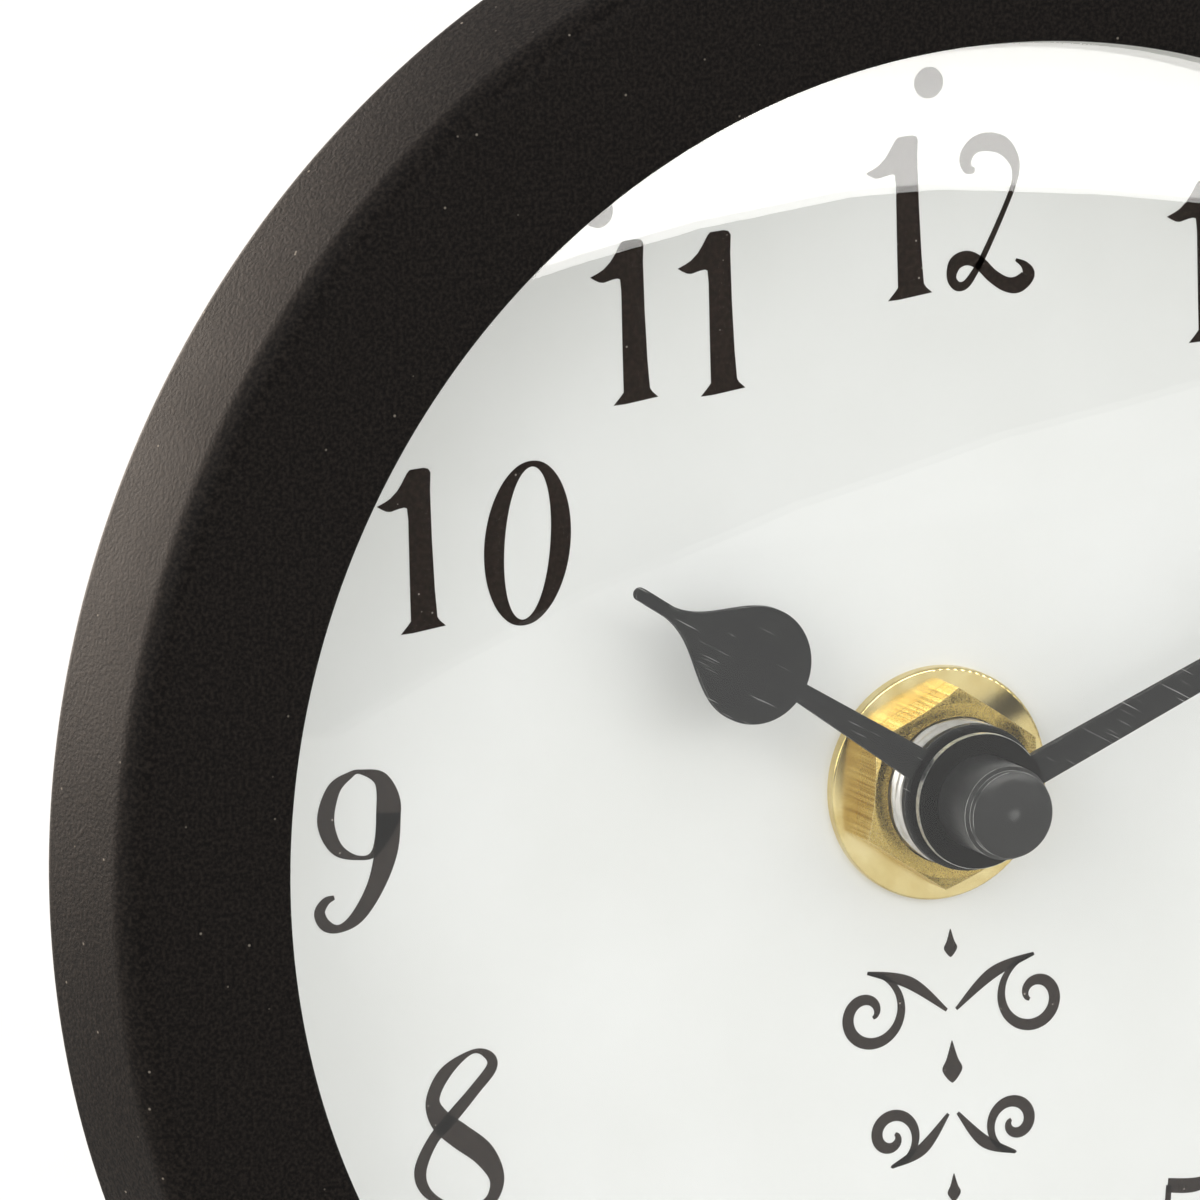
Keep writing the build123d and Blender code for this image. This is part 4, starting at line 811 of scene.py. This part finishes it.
# Rubbed edge: bare aluminium shows in patches where the lacquer has worn off the pressed edge.
edge_finish, shader, place = new_finish("black_lacquer_rubbed_edge", 0.4)
patch = add(edge_finish, "TexNoise", {"Scale": per(BARE_PATCH_MM), "Detail": 3.0}, {"Vector": place})
bare = add(edge_finish, "MapRange", {"From Min": 0.42, "From Max": 0.55}, {"Value": patch.outputs["Fac"]})
worn = add(
    edge_finish, "Mix", {"data_type": "RGBA", 6: linear(LACQUER_RUBBED), 7: linear(BARE_ALUMINIUM)},
    {0: bare.outputs["Result"]},
)
feed(edge_finish, shader, Base_Color=worn.outputs[2], Metallic=bare.outputs["Result"])
round_edges("hour_hand", BARE_EDGE_MM, edge_finish)
round_edges("minute_hand", BARE_EDGE_MM, edge_finish)

# Hub rim: the cut edge round the minute hand's hub, punched from the same sheet.
# It is modelled as a thin ring that stands a hair proud of the hand.
HUB_RIM_MM = 0.03
HUB_RIM_STEPS = 128
RIM_GRAIN_MM = 0.3
RIM_DULL = "#9a9a98"
# Bare punched rim: the lacquer doesn't hold on the cut edge of the minute hand's hub, which shines.
bare_rim, shader, place = new_finish("aluminium_punched_bare", 0.3, 1.0)
grain = add(bare_rim, "TexNoise", {"Scale": per(RIM_GRAIN_MM), "Detail": 2.0}, {"Vector": place})
metal = ramp(bare_rim, grain.outputs["Fac"], [(0.3, RIM_DULL), (0.6, BARE_ALUMINIUM)])
feed(bare_rim, shader, Base_Color=metal)
hand_low, hand_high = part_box("minute_hand")
hand_back = (middle.y - hand_high.y) / MM
hand_front = (middle.y - hand_low.y) / MM
hub_section = [
    (HUB_RADIUS_MM - HUB_RIM_MM, hand_back + HUB_RIM_MM),
    (HUB_RADIUS_MM + HUB_RIM_MM, hand_back + HUB_RIM_MM),
    (HUB_RADIUS_MM + HUB_RIM_MM, hand_front - HUB_RIM_MM),
    (HUB_RADIUS_MM - HUB_RIM_MM, hand_front - HUB_RIM_MM),
]
hub_rim = turned("minute_hub_rim", hub_section, about_dial, HUB_RIM_STEPS, bare_rim, "minute")

# Hand cap: a small closed nut turned from aluminium, with a collar, lacquered like the hands.
# It is screwed on the arbor's end and clamps the minute hand.
CAP_EDGE_MM = 0.08
CAP_GRAIN_MM = 0.2
# Satin black lacquer: the hands' black, a little glossier, so that its turned edges catch the light.
cap_lacquer, shader, place = new_finish("black_lacquer_satin", 0.34, Specular_IOR_Level=0.25)
grain = add(cap_lacquer, "TexNoise", {"Scale": per(CAP_GRAIN_MM), "Detail": 3.0}, {"Vector": place})
body = ramp(cap_lacquer, grain.outputs["Fac"], [(0.4, LACQUER_BLACK), (0.8, LACQUER_RUBBED)])
sheen = add(cap_lacquer, "MapRange", {"To Min": 0.28, "To Max": 0.4}, {"Value": grain.outputs["Fac"]})
feed(cap_lacquer, shader, Base_Color=body, Roughness=sheen.outputs["Result"])
dress(cap_lacquer, "hand_cap")
round_edges("hand_cap", CAP_EDGE_MM, edge_finish)

# Movement housing and setting knob: injection moulded in black ABS from spark-eroded moulds.
# The cover snaps over the gear train and leaves the battery bay open.
ABS_BLACK = "#161617"
ABS_PALE = "#202021"
ABS_SPARK_MM = 0.12
# Moulded ABS: black with the even pitting of the eroded mould, drawn coarser so that it shows.
abs_plastic, shader, place = new_finish("black_abs_moulded", 0.45)
spark = add(abs_plastic, "TexNoise", {"Scale": per(ABS_SPARK_MM), "Detail": 2.0}, {"Vector": place})
body = ramp(abs_plastic, spark.outputs["Fac"], [(0.35, ABS_BLACK), (0.7, ABS_PALE)])
relief = add(abs_plastic, "Bump", {"Strength": 0.3, "Distance": 0.02 * MM}, {"Height": spark.outputs["Fac"]})
feed(abs_plastic, shader, Base_Color=body, Normal=relief.outputs["Normal"])
dress(abs_plastic, "movement_case", "movement_cover", "set_knob")

# Marks on the movement's back: a plus and a minus for the cell and an arrow for setting the hands.
# They are moulded with the cover and stand up from it.
MARK_SUNK_MM = 0.1
MARK_LIFT_MM = 0.4
MARK_HALF_MM = 0.4
SIGN_HALF_MM = 1.6
SIGN_ASIDE_MM = 21.5
SIGN_UP_MM = 3.4
ARROW_RADIUS_MM = 7.2
ARROW_FROM = 150
ARROW_TO = 44
ARROW_STEP = 4
ARROW_TIP = 26
ARROW_HALF_MM = 1.2
cover_low, cover_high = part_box("movement_cover")
knob_low, knob_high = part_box("set_knob")


def raised(name, outline, finish, body):
    """A mark standing up from the movement's back, from its outline in millimetres."""
    count = len(outline)
    lifts = (-MARK_SUNK_MM, MARK_LIFT_MM)
    points = [(x * MM, cover_high.y + lift * MM, z * MM) for lift in lifts for x, z in outline]
    faces = [tuple(range(count)), tuple(range(count, 2 * count))]
    faces += [(i, (i + 1) % count, count + (i + 1) % count, count + i) for i in range(count)]
    return mesh_piece(name, points, faces, finish, body)


def at_knob(radius, angle):
    """A point round the knob, from millimetres and degrees."""
    centre = (knob_low + knob_high) / (2 * MM)
    return centre.x + radius * cos(radians(angle)), centre.z + radius * sin(radians(angle))


sign_up = cover_low.z / MM + SIGN_UP_MM
far, near = SIGN_HALF_MM, MARK_HALF_MM
cross = [
    (-far, -near), (-near, -near), (-near, -far), (near, -far), (near, -near), (far, -near),
    (far, near), (near, near), (near, far), (-near, far), (-near, near), (-far, near),
]
bar = [(-far, -near), (far, -near), (far, near), (-far, near)]
sweep = range(ARROW_FROM, ARROW_TO - 1, -ARROW_STEP)
arrow = [at_knob(ARROW_RADIUS_MM + near, angle) for angle in sweep]
arrow += [at_knob(ARROW_RADIUS_MM + ARROW_HALF_MM, sweep[-1]), at_knob(ARROW_RADIUS_MM, ARROW_TIP)]
arrow += [at_knob(ARROW_RADIUS_MM - ARROW_HALF_MM, sweep[-1])]
arrow += [at_knob(ARROW_RADIUS_MM - near, angle) for angle in reversed(sweep)]
for mark in (
    raised("cover_plus", [(x - SIGN_ASIDE_MM, z + sign_up) for x, z in cross], abs_plastic, "case"),
    raised("cover_minus", [(x + SIGN_ASIDE_MM, z + sign_up) for x, z in bar], abs_plastic, "case"),
    raised("cover_arrow", arrow, abs_plastic, "case"),
):
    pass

# Wheels, train plate and bobbin: moulded in natural acetal, which needs no oil.
# The wheels run between the movement's case and the plate.
ACETAL = "#e6e2d4"
ACETAL_SHADE = "#d3cdb9"
ACETAL_FLOW_MM = 2.0
# Natural acetal: milky ivory, waxy, lit a little from within.
acetal, shader, place = new_finish("acetal_natural_moulded", 0.35, Subsurface_Weight=0.15)
shader.inputs["Subsurface Scale"].default_value = 0.6 * MM
flow = add(acetal, "TexNoise", {"Scale": per(ACETAL_FLOW_MM), "Detail": 2.0}, {"Vector": place})
body = ramp(acetal, flow.outputs["Fac"], [(0.35, ACETAL_SHADE), (0.65, ACETAL)])
feed(acetal, shader, Base_Color=body)
dress(acetal, "hour_wheel", "motion_wheel", "setting_arbor", "third_wheel", "second_wheel")
dress(acetal, "intermediate_wheel", "centre_wheel", "rotor", "train_plate", "coil_bobbin")

# Coil: enamelled copper wire wound in layers on the bobbin, one end to each terminal of the board.
# Only the outer layer shows, drawn with wire three times as thick as the real one so that it can be seen.
COPPER = "#c98a5c"
COPPER_DEEP = "#9c5a34"
COPPER_CLOUD_MM = 0.8
COIL_WIRE_MM = 0.24
COIL_STEP_MM = 0.06
COIL_BORE_MM = 1.96
# Enamelled copper: orange-brown metal under clear varnish.
copper, shader, place = new_finish("copper_wire_enamelled", 0.3, 1.0, Coat_Weight=0.6)
cloud = add(copper, "TexNoise", {"Scale": per(COPPER_CLOUD_MM), "Detail": 3.0}, {"Vector": place})
body = ramp(copper, cloud.outputs["Fac"], [(0.3, COPPER_DEEP), (0.7, COPPER)])
feed(copper, shader, Base_Color=body)
coil_low, coil_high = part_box("coil_winding")
coil_middle = (coil_low + coil_high) / 2


def about_coil(radius, angle, along):
    """A point round the coil's axis, which lies across the clock."""
    out = radius * MM
    return Vector((along * MM, coil_middle.y + out * cos(angle), coil_middle.z + out * sin(angle)))


coil = wound(
    "copper_winding", (coil_high.z - coil_low.z) / 2 / MM, COIL_WIRE_MM / 2, COIL_BORE_MM, COIL_WIRE_MM,
    coil_low.x / MM, coil_high.x / MM, COIL_STEP_MM, about_coil, copper, "case",
)
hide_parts("coil_winding")

# Circuit board: glass-fibre laminate under green solder mask, with the chip under a drop of black resin.
# It is fed by the two contacts and drives the coil.
BOARD_GREEN = "#1f5a34"
BOARD_PALE = "#2d7446"
BOARD_WEAVE_MM = 3.142
# Solder mask on woven glass: glossy green with the weave just showing, drawn coarser than life.
board, shader, place = new_finish("glass_fibre_board_masked", 0.35)
weave = add(board, "TexWave", {"Scale": waves(BOARD_WEAVE_MM), "Distortion": 1.0}, {"Vector": place})
body = ramp(board, weave.outputs["Fac"], [(0.2, BOARD_GREEN), (0.9, BOARD_PALE)])
feed(board, shader, Base_Color=body)
dress(board, "circuit_board")

RESIN_BLACK = "#121213"
RESIN_SHEEN = "#1e1e20"
RESIN_FLOW_MM = 1.0
# Potting resin: glossy black with slight waves.
resin, shader, place = new_finish("black_epoxy_potted", 0.18)
flow = add(resin, "TexNoise", {"Scale": per(RESIN_FLOW_MM)}, {"Vector": place})
body = ramp(resin, flow.outputs["Fac"], [(0.4, RESIN_BLACK), (0.7, RESIN_SHEEN)])
feed(resin, shader, Base_Color=body)
dress(resin, "chip")

# Battery: one AA cell, a drawn steel can in a plain shrunk sleeve, with bare ends and a button.
# It lies in the open bay between the two contacts.
SLEEVE_GREY = "#3a3d42"
SLEEVE_BAND = "#b4703a"
CAN_STEEL = "#b6b7b8"
CELL_BUTTON_MM = 1.3
SLEEVE_BARE_MM = 0.9
SLEEVE_BAND_MM = 11.0
SLEEVE_RIPPLE_MM = 3.0
ALL_METAL = "#ffffff"
NO_METAL = "#000000"
cell_low, cell_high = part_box("battery")
# Shrunk plastic sleeve: dark grey and satin with one copper band, bare drawn steel beyond its edges.
sleeve, shader, place = new_finish("cell_sleeve_shrunk", 0.32)
along = add(sleeve, "SeparateXYZ", links={"Vector": place})
share = add(
    sleeve, "MapRange", {"From Min": cell_low.x, "From Max": cell_high.x},
    {"Value": along.outputs["X"]},
)
long_mm = (cell_high.x - cell_low.x) / MM
stops = [
    (0.0, CAN_STEEL),
    ((CELL_BUTTON_MM + SLEEVE_BARE_MM) / long_mm, SLEEVE_BAND),
    ((CELL_BUTTON_MM + SLEEVE_BAND_MM) / long_mm, SLEEVE_GREY),
    (1 - SLEEVE_BARE_MM / long_mm, CAN_STEEL),
]
body = ramp(sleeve, share.outputs["Result"], stops)
metal_stops = [(at, ALL_METAL if colour == CAN_STEEL else NO_METAL) for at, colour in stops]
metal = ramp(sleeve, share.outputs["Result"], metal_stops)
for banded in (body, metal):
    banded.node.color_ramp.interpolation = "CONSTANT"
ripple = add(sleeve, "TexNoise", {"Scale": per(SLEEVE_RIPPLE_MM)}, {"Vector": place})
relief = add(sleeve, "Bump", {"Strength": 0.15, "Distance": 0.1 * MM}, {"Height": ripple.outputs["Fac"]})
feed(sleeve, shader, Base_Color=body, Metallic=metal, Normal=relief.outputs["Normal"])
dress(sleeve, "battery")

# Studio: white paper on the floor, a large softbox in front on the right, a lamp behind on the left
# and a fill on the left. Dark screens stand beyond the camera.
# Lamps and screens show only in reflections and by their light.
FLOOR_SIZE = 7.0
FLOOR_GAP = 0.1 * MM
BARE_WHITE = "#ffffff"
PAPER_WHITE = "#a9a9a8"
PAPER_SHADE = "#a5a5a3"
PAPER_CLOUD_MM = 40.0
PAPER_GLOW = 0.35
KEY_TURN = 20.0
KEY_AWAY = 1.1
KEY_STRENGTH = 11.6
KEY_SHARE = 0.223
KEY_EDGE = [
    (-0.46, 0.19), (-0.24, 0.221), (-0.15, 0.231), (-0.025, 0.235),
    (0.05, 0.229), (0.185, 0.205), (0.27, 0.186), (0.5, 0.13),
]
KEY_TOP = 0.48
SIDE_TURN = -140.0
SIDE_AWAY = 1.2
SIDE_STRENGTH = 16.0
SIDE_SHARE = 0.5
SIDE_EDGE = [(-0.8, -0.05), (0.8, -0.05)]
SIDE_TOP = 0.8
FILL_TURN = -62.0
FILL_AWAY = 1.4
FILL_STRENGTH = 2.8
FILL_EDGE = [(-0.7, 0.1), (0.7, 0.1)]
FILL_TOP = 1.2
LAMP_WHITE = "#fffdfa"
LAMP_WARM = "#fff1e4"
LAMP_UNLIT = "#000000"
SCREEN_AWAY = 2.38
SCREEN_EDGE = [(-4.0, 0.0), (0.32, 0.0), (0.67, 0.09), (1.07, 0.155), (1.53, 0.19), (4.0, 0.4)]
SCREEN_TOP = 3.0
SCREEN_BLACK = "#0c0c0c"
SCREEN_FLOOR = [(-3.0, -0.8), (-0.07, -0.8), (0.01, -1.18), (0.32, -2.38), (-3.0, -2.38)]
SCREEN_LIFT = 0.001
ROOM_LIGHT = 1.3


def stage_sheet(name, corners, finish, seen):
    """A flat sheet in the studio, which isn't part of the clock."""
    mesh = bpy.data.meshes.new(name)
    mesh.from_pydata(corners, [], [tuple(range(len(corners)))])
    mesh.materials.append(finish)
    sheet = bpy.data.objects.new(name, mesh)
    sheet.visible_camera = seen
    bpy.context.scene.collection.objects.link(sheet)
    return sheet


def upright(turn, away, edge, top):
    """Corners of an upright sheet that faces the dial from an angle to its right, from its lower edge."""
    ahead = Vector((sin(radians(turn)), -cos(radians(turn)), 0.0)) * away
    side = Vector((cos(radians(turn)), sin(radians(turn)), 0.0))
    edge = edge + [(edge[-1][0], top), (edge[0][0], top)]
    return [middle + ahead + side * across + Vector((0, 0, up)) for across, up in edge]


def seen_directly(finish):
    """One where the camera, a mirror or a pane looks at a surface, and nought where its light lands."""
    path = add(finish, "LightPath").outputs
    seen = path["Is Camera Ray"]
    for ray in ("Is Glossy Ray", "Is Transmission Ray"):
        seen = add(finish, "Math", {"operation": "MAXIMUM"}, {0: seen, 1: path[ray]}).outputs[0]
    return seen


# White seamless paper: matt, and as bright as the background where it is seen, with the clock's shadow kept.
paper, shader, place = new_finish("white_paper_matt", 0.9, Specular_IOR_Level=0.0)
cloud = add(paper, "TexNoise", {"Scale": per(PAPER_CLOUD_MM), "Detail": 2.0}, {"Vector": place})
body = ramp(paper, cloud.outputs["Fac"], [(0.3, PAPER_SHADE), (0.7, PAPER_WHITE)])
shader.inputs["Emission Color"].default_value = linear(BARE_WHITE)
level = add(paper, "MapRange", {"To Max": PAPER_GLOW}, {"Value": seen_directly(paper)})
feed(paper, shader, Base_Color=body, Emission_Strength=level.outputs["Result"])
reach = FLOOR_SIZE / 2
floor = [(-reach, -reach), (reach, -reach), (reach, reach), (-reach, reach)]
stage_sheet("floor", [(x, y, -FLOOR_GAP) for x, y in floor], paper, True)


def lamp_cloth(name, colour, strength, share=1.0):
    """The lit front of a softbox, of which a share of the light reaches the clock past its baffle."""
    cloth, shader, _ = new_finish(name, 1.0)
    shader.inputs["Base Color"].default_value = linear(LAMP_UNLIT)
    shader.inputs["Emission Color"].default_value = linear(colour)
    level = add(
        cloth, "MapRange", {"To Min": strength * share, "To Max": strength},
        {"Value": seen_directly(cloth)},
    )
    feed(cloth, shader, Emission_Strength=level.outputs["Result"])
    return cloth


key_cloth = lamp_cloth("key_cloth_lit", LAMP_WHITE, KEY_STRENGTH, KEY_SHARE)
stage_sheet("key_softbox", upright(KEY_TURN, KEY_AWAY, KEY_EDGE, KEY_TOP), key_cloth, False)
side_cloth = lamp_cloth("side_cloth_lit", LAMP_WARM, SIDE_STRENGTH, SIDE_SHARE)
stage_sheet("side_softbox", upright(SIDE_TURN, SIDE_AWAY, SIDE_EDGE, SIDE_TOP), side_cloth, False)
fill_cloth = lamp_cloth("fill_cloth_lit", LAMP_WHITE, FILL_STRENGTH)
stage_sheet("fill_softbox", upright(FILL_TURN, FILL_AWAY, FILL_EDGE, FILL_TOP), fill_cloth, False)

# Black felt screens: they keep the room in front of the clock dark in the glass.
dark, shader, _ = new_finish("black_felt_screen", 1.0, Specular_IOR_Level=0.0)
shader.inputs["Base Color"].default_value = linear(SCREEN_BLACK)
screen_sides = [(SCREEN_EDGE[-1][0], SCREEN_TOP), (SCREEN_EDGE[0][0], SCREEN_TOP)]
screen = [(x, -SCREEN_AWAY, z) for x, z in SCREEN_EDGE + screen_sides]
for sheet in (
    stage_sheet("front_screen", screen, dark, False),
    stage_sheet("floor_screen", [(x, y, SCREEN_LIFT) for x, y in SCREEN_FLOOR], dark, False),
):
    sheet.visible_diffuse = False
    sheet.visible_shadow = False

# Room: white where it is seen, and an even light from all sides.
world = bpy.data.worlds.new("studio")
world.use_nodes = True
bpy.context.scene.world = world
sky = world.node_tree.nodes["Background"]
sky.inputs["Color"].default_value = linear(BARE_WHITE)
level = add(world, "MapRange", {"To Min": ROOM_LIGHT, "To Max": 1.0}, {"Value": seen_directly(world)})
world.node_tree.links.new(level.outputs["Result"], sky.inputs["Strength"])

# Camera: a long lens from the left and a little above, close in on the upper left of the clock.
# Its place and axes were fitted to the lip, the rim and the dots.
CAMERA_AT = (-0.4805, -1.0179, 0.3326)
CAMERA_RIGHT = (0.90978, -0.41470, -0.01829)
CAMERA_UP = (0.10042, 0.17712, 0.97905)
CAMERA_AHEAD = (0.40277, 0.89255, -0.20279)
CAMERA_SENSOR_MM = 36.0
CAMERA_LENS_MM = 508.0
lens = bpy.data.cameras.new("camera")
lens.sensor_width = CAMERA_SENSOR_MM
lens.lens = CAMERA_LENS_MM
camera = bpy.data.objects.new("camera", lens)
bpy.context.scene.collection.objects.link(camera)
turn = Matrix((CAMERA_RIGHT, CAMERA_UP, [-c for c in CAMERA_AHEAD])).transposed()
camera.matrix_world = Matrix.Translation(CAMERA_AT) @ turn.to_4x4()
bpy.context.scene.camera = camera
bpy.context.scene.view_settings.view_transform = "Standard"
